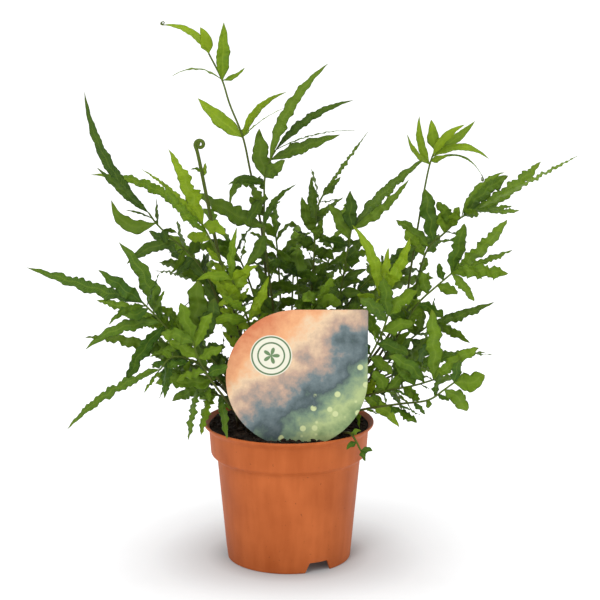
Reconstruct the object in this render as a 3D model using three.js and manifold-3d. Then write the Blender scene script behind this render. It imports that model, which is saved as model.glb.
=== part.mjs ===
// A potted lace fern: a round terracotta-coloured nursery pot, its potting soil, a drop-shaped card label
// and a crown of wiry fronds with waved, forked leaflets. Millimetres, +Z up, the pot stands on Z = 0 and
// the front of the plant looks along -Y. The origin is the centre of the pot's underside.
import * as THREE from "three";
import { mergeVertices } from "three/addons/utils/BufferGeometryUtils.js";
import Module from "manifold-3d";

const wasm = await Module();
wasm.setup();
const { Manifold, Mesh: SolidMesh } = wasm;

// The pot's outer profile as radius and height, its wall and its raised floor
const BASE_RADIUS = 44;
const SHOULDER = { radius: 50.9, height: 73.4 };
const COLLAR_FOOT = { radius: 55.3, height: 77 };
const COLLAR_TOP = { radius: 56.6, height: 94.4 };
const LIP = { radius: 60.4, height: 98, edge: 1 };
const RIM_HEIGHT = 99.6;
const WALL = 1.4;
const FLOOR_UNDERSIDE = 7.6;
const PAD_RADIUS = 14;
const POT_SIDES = 36;

// Notches in the foot ring and holes in the floor let water out
const NOTCH_COUNT = 3;
const NOTCH_AZIMUTH = 28.4;
const NOTCH = { foot: 21, roof: 14, height: 7.6 };
const DRAIN = { radius: 3.5, place: 28 };

// Soil, with a plain hole for each stem
const GAP = 0.3;
const SOIL_EDGE = { radius: 56.4, height: 97 };
const SOIL_CROWN = 100;
const SOIL_BUMP = 1.1;
const ROOT_DEPTH = 14;
const HOLE_RADIUS = 1.7;
const STUB = 3;

// The label is a drop: a disc with one square corner, on a stake pushed into the soil
const LABEL = { x: 5.8, y: -46, z: 141.5, radius: 48.5, thick: 0.8 };
const STAKE = { width: 13, tip: 60, point: 9 };

// Frond places are written as seen from the front, a little above the horizon: x to the right and h up
// the view, both square to the line of sight, and y the depth behind the pot's axis.
const VIEW_TILT = THREE.MathUtils.degToRad(12);
const VIEW_CENTRE = 187;
const VIEW_DISTANCE = 1400;
const VIEW_UP = new THREE.Vector3(0, Math.sin(VIEW_TILT), Math.cos(VIEW_TILT));
const EYE = new THREE.Vector3(0, -Math.cos(VIEW_TILT), Math.sin(VIEW_TILT))
  .multiplyScalar(VIEW_DISTANCE)
  .setZ(VIEW_CENTRE + VIEW_DISTANCE * Math.sin(VIEW_TILT));
function fromFront(x, h, y) {
  const sight = new THREE.Vector3(x, 0, VIEW_CENTRE)
    .addScaledVector(VIEW_UP, h - VIEW_CENTRE * Math.cos(VIEW_TILT))
    .sub(EYE);
  return EYE.clone().addScaledVector(sight, (y - EYE.y) / sight.y);
}

// Stems have square sections, and leaves grow from slots along them. A leaf whose own slot is taken moves
// by a few slots at most, and would rather face another way than move far.
const STEM = { radius: 1.1, tip: 0.7, step: 27, turn: 0.5, slot: 2.4, closest: 1.2 };
const MOST_SHIFTS = 3;
const SHIFT_COST = 0.12;

// A blade's waves swing its edges out and in, and up and down. The larger taper gives a rounder tip.
const LEAF = { thick: 0.9, step: 7.5, fewest: 3, most: 10, wave: 0.2, ruffle: 0.1 };
const TAPER = { pointed: 2.1, blunt: 4.5 };
const WIDEST = 0.3;

// Leaves of different fronds keep this far apart between sample points, and leaves of one frond, past
// the part near their own foot, a little less
const CLEARANCE = 3.2;
const OWN_CLEARANCE = 2.3;
const FREE_FOOT = 5;
const SAMPLE_STEP = 1.6;
const BEND_STEP = 5;
const MOST_BENDS = 9;

// Each frond: name, tone, root [x, y] in the soil, the stem's points [x, h, y], and its leaflets
// [stem point, across, up, width, bow, roll]. A leaflet's tip lies across and up from the stem point it
// grows from, bow lifts its middle, and roll turns its face away from the front, in degrees.
const FRONDS = [
  ["tall_left", "young", [-8, 8],
    [[-11.5, 155, 9], [-16.5, 206, 10], [-18.5, 229, 11], [-22, 250, 12], [-27, 274, 13], [-32, 297, 15],
      [-41.5, 321, 18], [-46.5, 337, 20], [-56, 356, 22]],
    [[8, -5.6, 17.5, 9, 1, 10], [8, -32, 19, 6, 6, 30], [7, 1.4, 40, 9.5, 0, 0], [7, -36, 3.5, 6, 7, 75],
      [7, 16, 8.4, 5, -2, 50], [5, -32, 28, 10.5, -1, 5], [5, 31, 31.5, 6.5, 6, 20], [5, 29, 20, 5, 2, 65],
      [5, 3.5, 11, 6, 0, 20], [5, 17.5, -2, 7, 3, 20]]],
  ["upper_centre", "old", [-2, 0],
    [[-8, 155, -2], [-13.5, 199, -3], [-17, 229, -3], [-17, 253, -2], [-16.5, 269, 0], [-13, 281, 2],
      [-9, 288, 3]],
    [[6, 54, 33.6, 6.5, 6, 10], [5, 40.6, 64.4, 8, 7, 10], [6, 55, 12.6, 5, 4, 70], [5, 49, 18, 8.5, 1, 10],
      [4, -4, 34, 12, -1, 0], [3.7, -24, -15, 9, 10, 20], [5, 23, 37, 4.5, -2, 60], [4, 14, 12, 10, 0, 10],
      [3.6, -25, 1, 8, 4, 20], [3, -11, -18, 9, 2, 20], [2.2, 23, 29, 6, 5, 20], [2.2, 9, 20, 4, 1, 60],
      [2.2, -49, 25, 13, -1, 5], [2.5, -14, 20, 9, 0, 15], [2, -13, -22, 9, -2, 10]]],
  ["fiddlehead", "young", [-14, 3],
    [[-35.4, 162, 5], [-46.6, 204, 6], [-53.6, 236, 6], [-59.2, 264, 6], [-64, 287, 6], [-65.5, 292, 6]],
    [[3.2, 2, 10, 4.5, 0, 20], [3.3, -8, 3, 3, 2, 30]], { radius: 3.4, turns: 1.3, hand: 1 }],
  ["light_left", "young", [-12, -6],
    [[-34, 159, -12], [-46, 206, -18], [-53, 222, -20], [-60, 235, -22]],
    [[3, -23, 52, 11, 2, 5], [3, -78, 35, 7.5, 10, 15], [3, -41, 38, 5, 3, 50], [2.6, -30, 36, 8, -3, 20],
      [3, 8, 24, 10, 0, 10], [3, 16, -6, 10, 2, 15]]],
  ["far_left_upper", "old", [-20, 2],
    [[-42, 162, 0], [-58, 201, -3], [-71, 217, -5], [-83, 227, -7], [-93, 237, -8], [-98, 244, -9]],
    [[5, -43, 83, 7.5, -9, 10], [5, -35, 31, 7.5, 0, 20], [4, -31, 16, 10, -10, 5], [5, -15, 43, 4.5, 0, 55],
      [4.4, -19, 6, 3.5, 1, 70], [3.5, 3, -9, 7, 0, 20], [3.5, 10, -2, 5, 1, 40], [2.6, -35, -15, 8.5, 4, 20],
      [2.2, -10, -18, 5, -2, 20], [1.8, 6, 14, 9, 0, 20], [1.6, -12, -12, 8, 3, 20]]],
  ["left_long", "leaf", [-20, -12],
    [[-34, 113, -20], [-62, 140, -32], [-76, 153, -40], [-86.5, 165, -46], [-97, 176, -50], [-102, 181, -52]],
    [[5, -79, 24, 9, 0, 10], [5, -29, 22, 10, 0, 10], [4.2, -21, -2, 8, -3, 15], [4.5, -26, -13, 6, 4, 15],
      [3.3, -27, 53, 11, 4.5, 0], [3.2, -53, -19, 8, 6, 20], [3, -27, -43, 10, 4, 15],
      [2.7, -16, -8, 6, 2, 30]]],
  ["low_left", "leaf", [-20, -24],
    [[-39.5, 116, -36], [-53.5, 131.5, -46], [-69, 141, -56], [-81.5, 143, -62], [-90, 134, -66]],
    [[4, -65, -42, 7.5, 6, 20], [3.3, -3, -27, 7, 0, 10], [0.8, -32, -2, 10, -3, 20], [4, -18, -8, 4, 2, 50],
      [4, -11, -16, 4, 0, 50], [3.6, -4, -24, 4, -2, 55], [2, -5, -14, 5, 0, 30], [3, -7, 4, 6, 0, 30],
      [1, 4, -16, 9, 0, 20]]],
  ["broad_left", "old", [-12, -20],
    [[-37, 122, -28], [-58, 146, -38], [-67.5, 154, -42]],
    [[2, 4, 42, 14, -1, 0], [1.7, 13, 32, 12, -2, 5], [1.2, 16, 2, 7, 1, 20], [1.5, -10, 16, 9, 1, 15],
      [1, 14, -6, 8, 0, 20]]],
  ["bright_centre", "young", [-3, -15],
    [[-18.5, 127, -20], [-23.5, 152, -25], [-28, 168, -30], [-34, 183, -34], [-39.5, 197, -37]],
    [[4, 3.5, 36, 6, 2, 15], [4, -24, 0, 7, 3, 15], [3.6, 10, 14, 11, 0, 10], [2, -29, -2, 8, 3, 15],
      [2, 14, 31, 8, -1, 10], [3, -16, -5, 7, 2, 20], [3, -10, 12, 9, 0, 10], [4, 18, 10, 8, 1, 20],
      [2.4, -17, 13, 9, 1, 15], [1.6, 12, 12, 8, 0, 20]]],
  ["centre_dark", "old", [2, 13],
    [[5, 155, 14], [7, 183, 13], [6, 199.5, 12]],
    [[2, 1, 20, 12, 0, 10], [2, -13, 19, 9, -1, 10], [2, -21, 9, 9, 3, 15], [1.4, -22, 2, 9, 2, 15],
      [2, 15, -3, 8, 2, 20], [2, 10, 12, 9, 0, 15], [1, -18, -8, 8, 2, 20], [1, 18, 6, 7, 0, 20]]],
  ["centre_right", "old", [10, 21],
    [[12, 155, 22], [16, 190, 24], [18, 217, 25], [18.5, 235, 26], [21, 250, 27], [25.5, 259, 28]],
    [[5, 30, 41, 4.5, 0, 45], [4.6, 13, 14, 6, 0, 20], [3, -3, 35, 8, 0, 10], [2.7, -9, 26, 9, -1, 10],
      [3, 20, 20, 5, 2, 40], [2.3, -14, 3, 8, 0, 20], [2, 14, -6, 10, 2, 15], [2, -8, 10, 9, 0, 20],
      [1.4, 12, 8, 8, 0, 20], [1.2, -10, 4, 8, 1, 20]]],
  ["dark_right", "old", [12, 3],
    [[23.5, 141, 2], [33, 173, 0], [38, 197, -2], [41.5, 218, -3], [44, 232, -4]],
    [[4, -1, 27, 10, 0, 5], [4, 53, 51, 7.5, 3, 20], [4, 40, 35, 7, -3, 20], [4, 31, 32, 4, 0, 60],
      [3.5, -15, 25, 9, 1, 15], [3.2, -22, 3, 9, 2, 15], [2.6, 10, 0, 9, 1, 15], [2, 17, 8, 6, 0, 20],
      [1.6, 16, -3, 8, 2, 20], [1.6, -16, 4, 9, 1, 20]]],
  ["bright_right", "young", [13, -9],
    [[39.5, 131, -18], [51.5, 159, -24], [59, 178, -28], [63.5, 186, -30]],
    [[3, -19, 48, 8, 5, 5], [3, 6, 33, 7, -1, 10], [3, 22, 41, 9, -3, 5], [2.4, -13, 5, 8, 1, 20],
      [2.6, 3, -14, 8, 0, 20], [2, 14, 4, 8, 1, 20]]],
  ["tall_right", "young", [20, 13],
    [[43, 124, 15], [72.5, 162, 18], [81.5, 181, 20], [86.5, 210, 22], [93, 248, 24], [99, 278, 26],
      [102.5, 288, 27]],
    [[6, -3, 21, 8.5, 0, 5], [5, -8, 33, 6, -3, 10], [5, -16, 21, 4.5, -3, 20], [5.9, 29, 22, 7.5, -2, 10],
      [5.6, 23, 22, 6.5, 3, 20], [5.5, 40, -2, 6, 8, 20], [5.75, 34, 11, 6, 2, 20],
      [5.2, 37, -12, 2.5, 10, 50], [5.2, 12, 3.5, 5, 0, 30]]],
  ["right_big", "leaf", [22, 4],
    [[48.5, 124, 4], [75, 162, 4], [86.5, 183, 2], [92, 203, 0], [98.5, 220, -2], [109.5, 230, -4],
      [120, 240, -6], [127, 244, -8]],
    [[7, 73, 38.5, 6, 0, 40], [7, 50, 36, 9, -3, 10], [6.4, 31, 28, 10, 3, 10], [6.2, 30, 31, 5, 6, 50],
      [7, 30, 5, 5, 0, 40], [5.6, -12, 15, 8, 0, 15], [5, -1, 20, 9, 0, 10], [4.3, -6, 37, 11, 0, 5],
      [4, -23, 19, 8, 1, 10], [3.6, -14, 18, 7.5, 0, 20], [5.4, 6, 14, 7, 0, 20]]],
  ["right_mid", "leaf", [23, -6],
    [[53.5, 124, -12], [73, 152, -18], [90.5, 180, -24], [104.5, 193, -28], [114.5, 201.5, -30]],
    [[4, 8, 34, 10, 0, 5], [4, 38, 37, 9.5, -2, 10], [4, 41, 16, 6, 0, 45], [4, 39, 0, 11, 2, 10],
      [4, 16, -19, 6, 1, 20], [3.4, -3, 12, 6, 0, 30], [3, 14, -6, 9, 1, 15], [2.5, -4, 15, 8, 0, 20],
      [2, 18, -10, 9, 2, 20], [1.5, -14, 10, 8, 1, 20]]],
  ["right_back", "old", [28, 16],
    [[55.5, 124, 22], [81.5, 152, 28], [99, 166, 32]],
    [[2, 46, 16, 7.5, -1, 20], [2, 15, 0, 4, 0, 50], [2, 30, -14, 8, 2, 20], [1.4, -6, 16, 8, 0, 20],
      [1.2, 14, -12, 8, 1, 20], [1, -10, 8, 8, 1, 20]]],
  ["right_front", "leaf", [17, -19],
    [[43, 112, -30], [67.5, 119, -40], [88.5, 123, -47], [102, 127, -52]],
    [[3, -2, 48, 10, 1, 0], [3, 30, 22, 8, 2, 15], [2, -14, 16, 10, 2, 10], [2.5, -24, 18, 9, 3, 15],
      [1.6, 12, -8, 8, 0, 20], [1, -8, 14, 9, 1, 15], [3, 14, 2, 8, 0, 20]]],
  ["low_right", "leaf", [8, -24],
    [[39.5, 103, -36], [57, 107, -45], [78, 110, -54], [99, 113, -60], [109.5, 120, -63], [116.5, 125, -65]],
    [[5, 3, 15, 7, 0, 15], [5, 21, 5, 12, -2, 10], [4, 16, -15, 10, 2, 15], [3, -1, -6, 4, 0, 30],
      [3.5, 8, -4, 4, 0, 40], [2.6, -5, 10, 6, 0, 30]]],
  ["right_inner", "leaf", [33, -21],
    [[45, 125, -29], [57, 143, -36], [65, 158, -41], [70, 172, -44]],
    [[3, -3, 26, 9, 0, 5], [3, 20, 17, 9, 2, 15], [2.7, -18, 16, 9, 2, 15], [2.2, 21, 6, 9, 1, 15],
      [1.8, -12, 22, 8, 1, 20], [1.6, 22, -8, 9, 2, 20], [1.1, -14, 14, 8, 0, 20], [1, 16, -12, 8, 1, 20]]],
  ["left_inner", "leaf", [-28, -27],
    [[-43, 112, -41], [-55, 128, -53], [-63, 142, -59], [-67, 154, -62]],
    [[3, -8, 26, 9, 0, 5], [2.6, 12, 24, 8, 1, 15], [2.9, -22, 6, 9, 2, 15], [2, -20, 12, 8, 1, 20],
      [2, 16, 8, 9, 0, 20], [1.3, -20, -6, 8, 2, 20], [1.2, 14, 6, 8, 0, 20], [0.7, -14, 4, 8, 1, 20]]],
  ["rim_sprig", "leaf", [35.5, -35],
    [[40, 90, -41], [44, 89, -49], [48, 83, -55], [51, 77, -57]],
    [[1, 7, 2, 5, 1, 10], [2, -7, -5, 4, 1, 20], [3, 8, 0, 5, 1, 10], [3, 3, -7, 4, 0, 20]]],
  ["soil_sprig", "young", [-36, -12],
    [[-36.5, 102, -13], [-38, 108, -14]],
    [[1, -9, 0, 5, 1, 10], [0.3, 8, -2, 5, 1, 20]]],
  ["hanging_right", "young", [30, -14],
    [[40, 108, -17], [52, 115, -22]],
    [[1, 26, -22, 9.5, 3, 10], [0.6, 3, -20, 5, 0, 40], [1, 10, 14, 8, 0, 20]]],
];

// The fronds of the list above whose leaflets have round tips
const BLUNT_FRONDS = [
  "broad_left", "centre_dark", "right_big", "right_mid", "right_front", "low_right", "right_inner",
  "left_inner",
];

// Fronds of the back and sides follow one rule: name, tone, root, azimuth from the front in degrees,
// reach from the crown and height of the tip.
const RULE_FRONDS = [
  ["back_left_low", "leaf", [-30, 8], -98, 118, 165],
  ["back_left", "old", [-24, 20], -132, 120, 195],
  ["back_left_inner", "leaf", [-12, 28], -142, 95, 212],
  ["back_centre", "leaf", [1, 31], 178, 125, 190],
  ["back_right_inner", "leaf", [14, 31], 158, 100, 210],
  ["back_right", "old", [27, 27], 130, 120, 190],
  ["back_right_low", "leaf", [38, 6], 100, 105, 136],
  ["front_left_low", "leaf", [-30, -16], -62, 95, 135],
  ["left_low", "old", [-34, -4], -84, 110, 150],
  ["right_low", "leaf", [38, -5], 84, 105, 140],
  ["crown_left", "leaf", [-22, 11], -116, 85, 200],
  ["crown_front", "leaf", [4, 5], 27, 70, 190],
  ["crown_right", "old", [20, 22], 60, 95, 205],
  ["crown_back", "leaf", [-4, 20], -172, 80, 222],
];

// The rule: the points of the stem as shares of its run, how it arches, how far it leans out and the size
// of its leaflets, both as shares of its reach, and the pairs as [stem point, length]
const RULE = { route: [0.25, 0.5, 0.72, 0.88, 1], arch: 1.2, lean: 0.5, spread: 1.6, size: 0.5 };
const PAIRS = [[3.7, 0.55], [2.7, 0.72], [1.7, 0.75]];
const RULE_FACE = new THREE.Vector3(0, -0.3, 0.6);
const LOOSE = THREE.MathUtils.degToRad(50);

function draws(seed) {
  let state = seed * 7919 + 17;
  return () => {
    state = (state * 1664525 + 1013904223) % 4294967296;
    return state / 4294967296;
  };
}

function solidOf(geometry) {
  const bare = geometry.clone();
  bare.deleteAttribute("normal");
  bare.deleteAttribute("uv");
  const merged = mergeVertices(bare, 1e-4);
  const index = [];
  for (let i = 0; i < merged.index.count; i += 3) {
    const [a, b, c] = merged.index.array.slice(i, i + 3);
    if (a !== b && b !== c && c !== a) index.push(a, b, c);
  }
  const build = (order) =>
    new Manifold(
      new SolidMesh({
        numProp: 3,
        vertProperties: new Float32Array(merged.attributes.position.array),
        triVerts: new Uint32Array(order),
      }),
    );
  const solid = build(index);
  return solid.volume() < 0 ? build(index.reverse()) : solid;
}

function meshOf(name, solid, material) {
  const { vertProperties, triVerts } = solid.getMesh();
  const geometry = new THREE.BufferGeometry()
    .setAttribute("position", new THREE.BufferAttribute(new Float32Array(vertProperties), 3))
    .setIndex(new THREE.BufferAttribute(new Uint32Array(triVerts), 1));
  geometry.computeVertexNormals();
  const mesh = new THREE.Mesh(geometry, material);
  mesh.name = name;
  return mesh;
}

// A solid of revolution about Z from a profile of radius and height that starts and ends on the axis
const revolve = (profile, sides) =>
  new THREE.LatheGeometry(profile.map(([r, z]) => new THREE.Vector2(r, z)), sides).rotateX(Math.PI / 2);

function cylinder(x, y, low, high, radius, sides) {
  const geometry = new THREE.CylinderGeometry(radius, radius, high - low, sides).rotateX(Math.PI / 2);
  return solidOf(geometry.translate(x, y, (low + high) / 2));
}

// The pot's radius inside its wall, as radius and height from the floor up to the rim
const INSIDE = [
  [BASE_RADIUS + 0.6 - WALL, FLOOR_UNDERSIDE + WALL],
  [SHOULDER.radius - WALL, SHOULDER.height],
  [COLLAR_FOOT.radius - WALL, COLLAR_FOOT.height + 0.6],
  [COLLAR_TOP.radius - WALL, COLLAR_TOP.height + 1],
  [LIP.radius - LIP.edge, RIM_HEIGHT],
];

function potSolid() {
  const shell = revolve(
    [
      [0, 0],
      [BASE_RADIUS, 0],
      [SHOULDER.radius, SHOULDER.height],
      [COLLAR_FOOT.radius, COLLAR_FOOT.height],
      [COLLAR_TOP.radius, COLLAR_TOP.height],
      [LIP.radius, LIP.height],
      [LIP.radius, RIM_HEIGHT],
      ...INSIDE.toReversed(),
      [0, FLOOR_UNDERSIDE + WALL],
    ],
    POT_SIDES,
  );
  const recess = revolve(
    [
      [PAD_RADIUS, -1],
      [BASE_RADIUS - WALL, -1],
      [BASE_RADIUS - WALL, FLOOR_UNDERSIDE],
      [PAD_RADIUS, FLOOR_UNDERSIDE],
      [PAD_RADIUS, -1],
    ],
    POT_SIDES,
  );
  let pot = solidOf(shell).subtract(solidOf(recess));
  const opening = new THREE.Shape([
    new THREE.Vector2(-NOTCH.foot / 2, -0.01),
    new THREE.Vector2(NOTCH.foot / 2, -0.01),
    new THREE.Vector2(NOTCH.roof / 2, NOTCH.height),
    new THREE.Vector2(-NOTCH.roof / 2, NOTCH.height),
  ]);
  for (let i = 0; i < NOTCH_COUNT; i++) {
    const turn = THREE.MathUtils.degToRad(NOTCH_AZIMUTH + (360 * i) / NOTCH_COUNT);
    const notch = new THREE.ExtrudeGeometry(opening, { depth: 12, bevelEnabled: false })
      .rotateX(Math.PI / 2)
      .translate(0, -BASE_RADIUS + 10, 0)
      .rotateZ(turn);
    pot = pot.subtract(solidOf(notch));
    for (const share of [1 / 3, 2 / 3]) {
      const place = turn + (2 * Math.PI * share) / NOTCH_COUNT;
      const [x, y] = [Math.sin(place) * DRAIN.place, -Math.cos(place) * DRAIN.place];
      pot = pot.subtract(cylinder(x, y, 0, 20, DRAIN.radius, 12));
    }
  }
  return pot;
}

// Low clods all over the soil
const clods = (x, y) =>
  SOIL_BUMP * (Math.sin(0.31 * x + 1.3) * Math.cos(0.27 * y) + 0.5 * Math.sin(0.7 * x + 0.9 * y));

function soilTop(x, y) {
  const share = Math.min(1, Math.hypot(x, y) / SOIL_EDGE.radius);
  return THREE.MathUtils.lerp(SOIL_CROWN, SOIL_EDGE.height, share ** 2) + clods(x, y) * (1 - share ** 4);
}

function soilSolid(roots) {
  const side = INSIDE.slice(0, 4).map(([r, z]) => [r - GAP, z]);
  side[0][1] += GAP;
  side[2][1] += GAP;
  const top = [1, 0.85, 0.62, 0.35, 0].map((share) => [SOIL_EDGE.radius * share, SOIL_CROWN]);
  const ball = revolve([[0, FLOOR_UNDERSIDE + WALL + GAP], ...side, ...top], POT_SIDES);
  const place = ball.attributes.position;
  for (let i = 0; i < place.count; i++)
    if (place.getZ(i) > SOIL_EDGE.height) place.setZ(i, soilTop(place.getX(i), place.getY(i)));
  let soil = solidOf(ball);
  for (const [x, y] of roots)
    soil = soil.subtract(cylinder(x, y, soilTop(x, y) - ROOT_DEPTH - GAP, SOIL_CROWN + 9, HOLE_RADIUS, 6));
  return soil.subtract(labelSolid(GAP));
}

// The label, or with a margin the room it needs
function labelSolid(margin) {
  const radius = LABEL.radius + margin;
  const half = STAKE.width / 2 + margin;
  const shoulder = Math.asin(half / radius);
  const drop = new THREE.Shape();
  drop.moveTo(0, STAKE.tip - margin - LABEL.z);
  drop.lineTo(half, STAKE.tip + STAKE.point - LABEL.z);
  drop.absarc(0, 0, radius, shoulder - Math.PI / 2, 0, false);
  drop.lineTo(radius, radius);
  drop.absarc(0, 0, radius, Math.PI / 2, 1.5 * Math.PI - shoulder, false);
  drop.lineTo(-half, STAKE.tip + STAKE.point - LABEL.z);
  const depth = LABEL.thick + 2 * margin;
  const card = new THREE.ExtrudeGeometry(drop, { depth, bevelEnabled: false, curveSegments: 14 });
  return solidOf(card.rotateX(Math.PI / 2).translate(LABEL.x, LABEL.y + depth / 2, LABEL.z));
}

// The faces between two rings of corners that run the same way round. Neighbouring quads are split on
// mirrored diagonals, so that the two faces of a thin waved blade never cross.
function bridge(index, from, to, skip = () => false) {
  for (let k = 0; k < 4; k++) {
    const next = (k + 1) % 4;
    const [a, b, c, d] = [from[k], from[next], to[next], to[k]];
    if (skip(k)) continue;
    if (k % 2) index.push(a, b, d, b, c, d);
    else index.push(a, b, c, a, c, d);
  }
}

// A leaflet's outline: half its width along its length, from a narrow foot to a pointed or a round tip
function outline(leaf, u) {
  const rise = THREE.MathUtils.smoothstep(u, -0.08, 0.32);
  const fall = 1 - Math.max(0, (u - WIDEST) / (1 - WIDEST)) ** TAPER[leaf.end];
  return rise * fall;
}

// Where a leaflet runs and which way it faces at a share u of its length
function leafAt(leaf, u) {
  const v = 1 - u;
  const point = leaf.foot.clone().multiplyScalar(v * v)
    .addScaledVector(leaf.middle, 2 * u * v)
    .addScaledVector(leaf.tip, u * u);
  const along = leaf.middle.clone().sub(leaf.foot).multiplyScalar(v)
    .addScaledVector(leaf.tip.clone().sub(leaf.middle), u)
    .normalize();
  const side = new THREE.Vector3().crossVectors(along, leaf.face).normalize();
  const out = new THREE.Vector3().crossVectors(side, along);
  const roll = leaf.roll + leaf.twist * u;
  const across = side.multiplyScalar(Math.cos(roll)).addScaledVector(out, Math.sin(roll));
  const normal = new THREE.Vector3().crossVectors(across, along);
  return { point, across, normal };
}

// Sections of a waved blade: left edge, upper rib, right edge and lower rib
function leafRings(leaf) {
  const length = leaf.foot.distanceTo(leaf.tip);
  const steps = THREE.MathUtils.clamp(Math.round(length / LEAF.step), LEAF.fewest, LEAF.most);
  const rings = [];
  for (let i = 1; i < steps; i++) {
    const u = i / steps;
    const { point, across, normal } = leafAt(leaf, u);
    const wave = i % 2 ? 1 : -1;
    const half = (leaf.width / 2) * outline(leaf, u) * (1 + LEAF.wave * wave);
    const ruffle = LEAF.ruffle * leaf.width * wave * outline(leaf, u);
    const thick = (LEAF.thick / 2) * (1 - 0.3 * u);
    rings.push([
      point.clone().addScaledVector(across, -half).addScaledVector(normal, ruffle),
      point.clone().addScaledVector(normal, thick),
      point.clone().addScaledVector(across, half).addScaledVector(normal, -ruffle),
      point.clone().addScaledVector(normal, -thick),
    ]);
  }
  return rings;
}

// A stem's section, a square whose corners lie on its radius
function stemRing({ point, along, share }) {
  const side = new THREE.Vector3(0, 1, 0).cross(along).normalize();
  const out = new THREE.Vector3().crossVectors(along, side);
  const radius = THREE.MathUtils.lerp(STEM.radius, STEM.tip, share);
  return [0, 1, 2, 3].map((k) => {
    const angle = (Math.PI / 2) * k + Math.PI / 4;
    return point.clone()
      .addScaledVector(side, radius * Math.cos(angle))
      .addScaledVector(out, radius * Math.sin(angle));
  });
}

// The places of a stem's sections. It rises straight out of its hole and then follows its curve, with two
// sections for each slot that leaves grow from, and others where it has turned or run on far enough.
function stemPlaces(stem, slots) {
  const length = stem.curve.getLength();
  const taken = slots.flatMap((slot) => [length - slot * STEM.slot, length - (slot + 1) * STEM.slot]);
  const wanted = new Set([...taken, length]);
  let last = stem.curve.getTangentAt(0);
  let run = 0;
  for (let at = STEM.slot; at < length - STEM.closest; at += STEM.closest / 2) {
    const along = stem.curve.getTangentAt(at / length);
    if (at - run < STEM.step && along.angleTo(last) < STEM.turn) continue;
    if (at - run < STEM.closest || taken.some((other) => Math.abs(other - at) < STEM.slot)) continue;
    run = at;
    last = along;
    wanted.add(at);
  }
  const up = new THREE.Vector3(0, 0, 1);
  const places = [...wanted].sort((a, b) => a - b).map((at) => ({
    point: stem.curve.getPointAt(at / length),
    along: stem.curve.getTangentAt(at / length),
    share: at / length,
    slot: Math.round((length - at) / STEM.slot) - 1,
  }));
  return [
    { point: stem.root, along: up, share: 0 },
    { point: stem.curve.getPointAt(0), along: up, share: 0 },
    ...places,
  ];
}

// Gives each leaf a free side of the stem near its place, on the side that it leaves towards. The stem's
// end is a slot of its own, kept for the leaf that best runs on from it.
function shareOutSlots(stem, leaves) {
  const length = stem.curve.getLength();
  const taken = new Set();
  const claims = new Map();
  const heading = (leaf) => leafAt(leaf, 0.3).point.sub(leaf.foot).normalize();
  const end = stem.curve.getTangentAt(1);
  const atEnd = leaves.filter((leaf) => leaf.slot === 0);
  const runner = atEnd.sort((a, b) => heading(b).dot(end) - heading(a).dot(end))[0];
  if (runner && heading(runner).dot(end) > 0.5) claims.set("end", runner);
  const runAt = (leaf) => stem.curve.getTangentAt(Math.max(0, 1 - ((leaf.slot + 0.5) * STEM.slot) / length));
  const sideways = (leaf) => heading(leaf).projectOnPlane(runAt(leaf)).length();
  for (const leaf of leaves.toSorted((a, b) => sideways(b) - sideways(a))) {
    if (claims.get("end") === leaf) continue;
    const choices = [];
    for (let shift = -MOST_SHIFTS; shift <= MOST_SHIFTS; shift++) {
      const slot = Math.max(0, leaf.slot + shift);
      const along = length - (slot + 0.5) * STEM.slot;
      if (along < STEM.slot) continue;
      const place = { point: new THREE.Vector3(), along: stem.curve.getTangentAt(along / length), share: 0 };
      const ring = stemRing(place);
      for (let k = 0; k < 4; k++) {
        const normal = ring[k].clone().add(ring[(k + 1) % 4]).normalize();
        const name = slot + "/" + k;
        const worth = normal.dot(heading(leaf)) - SHIFT_COST * Math.abs(slot - leaf.slot);
        if (!taken.has(name)) choices.push({ name, worth });
      }
    }
    choices.sort((a, b) => b.worth - a.worth);
    taken.add(choices[0].name);
    claims.set(choices[0].name, leaf);
  }
  return claims;
}

// A frond is one closed skin: a leaf's skin begins at the edges of the side of the stem that it grows from
function frondSolid({ stem, leaves }) {
  const claims = shareOutSlots(stem, leaves);
  const slots = [...claims.keys()].filter((name) => name !== "end").map((name) => parseInt(name));
  const position = [];
  const index = [];
  const corners = (ring) => {
    const first = position.length / 3;
    ring.forEach((point) => position.push(point.x, point.y, point.z));
    return ring.map((_, i) => first + i);
  };
  const growLeaf = (leaf, root) => {
    const rings = leafRings(leaf).map(corners);
    const [tip] = corners([leaf.tip]);
    const at = (corner) => new THREE.Vector3().fromArray(position, 3 * corner);
    const apart = (turn) => (sum, corner, k) => sum + at(corner).distanceTo(at(rings[0][(k + turn) % 4]));
    const spread = (turn) => root.reduce(apart(turn), 0);
    const turn = [0, 1, 2, 3].sort((a, b) => spread(a) - spread(b))[0];
    const start = [0, 1, 2, 3].map((k) => root[(k - turn + 4) % 4]);
    rings.forEach((ring, i) => bridge(index, i ? rings[i - 1] : start, ring));
    const last = rings.at(-1);
    for (let k = 0; k < 4; k++) index.push(last[k], last[(k + 1) % 4], tip);
  };
  const places = stemPlaces(stem, slots);
  const rings = places.map((place) => corners(stemRing(place)));
  const [foot, end] = [rings[0], rings.at(-1)];
  index.push(foot[0], foot[2], foot[1], foot[0], foot[3], foot[2]);
  for (let i = 0; i + 1 < rings.length; i++) {
    const claimOf = (k) => claims.get(places[i].slot + "/" + k);
    bridge(index, rings[i], rings[i + 1], claimOf);
    for (let k = 0; k < 4; k++) {
      const next = (k + 1) % 4;
      const side = [rings[i][k], rings[i][next], rings[i + 1][next], rings[i + 1][k]];
      if (claimOf(k)) growLeaf(claimOf(k), side);
    }
  }
  if (claims.has("end")) growLeaf(claims.get("end"), end);
  else index.push(end[0], end[1], end[2], end[0], end[2], end[3]);
  return solidOf(
    new THREE.BufferGeometry()
      .setAttribute("position", new THREE.Float32BufferAttribute(position, 3))
      .setIndex(index),
  );
}

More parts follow.
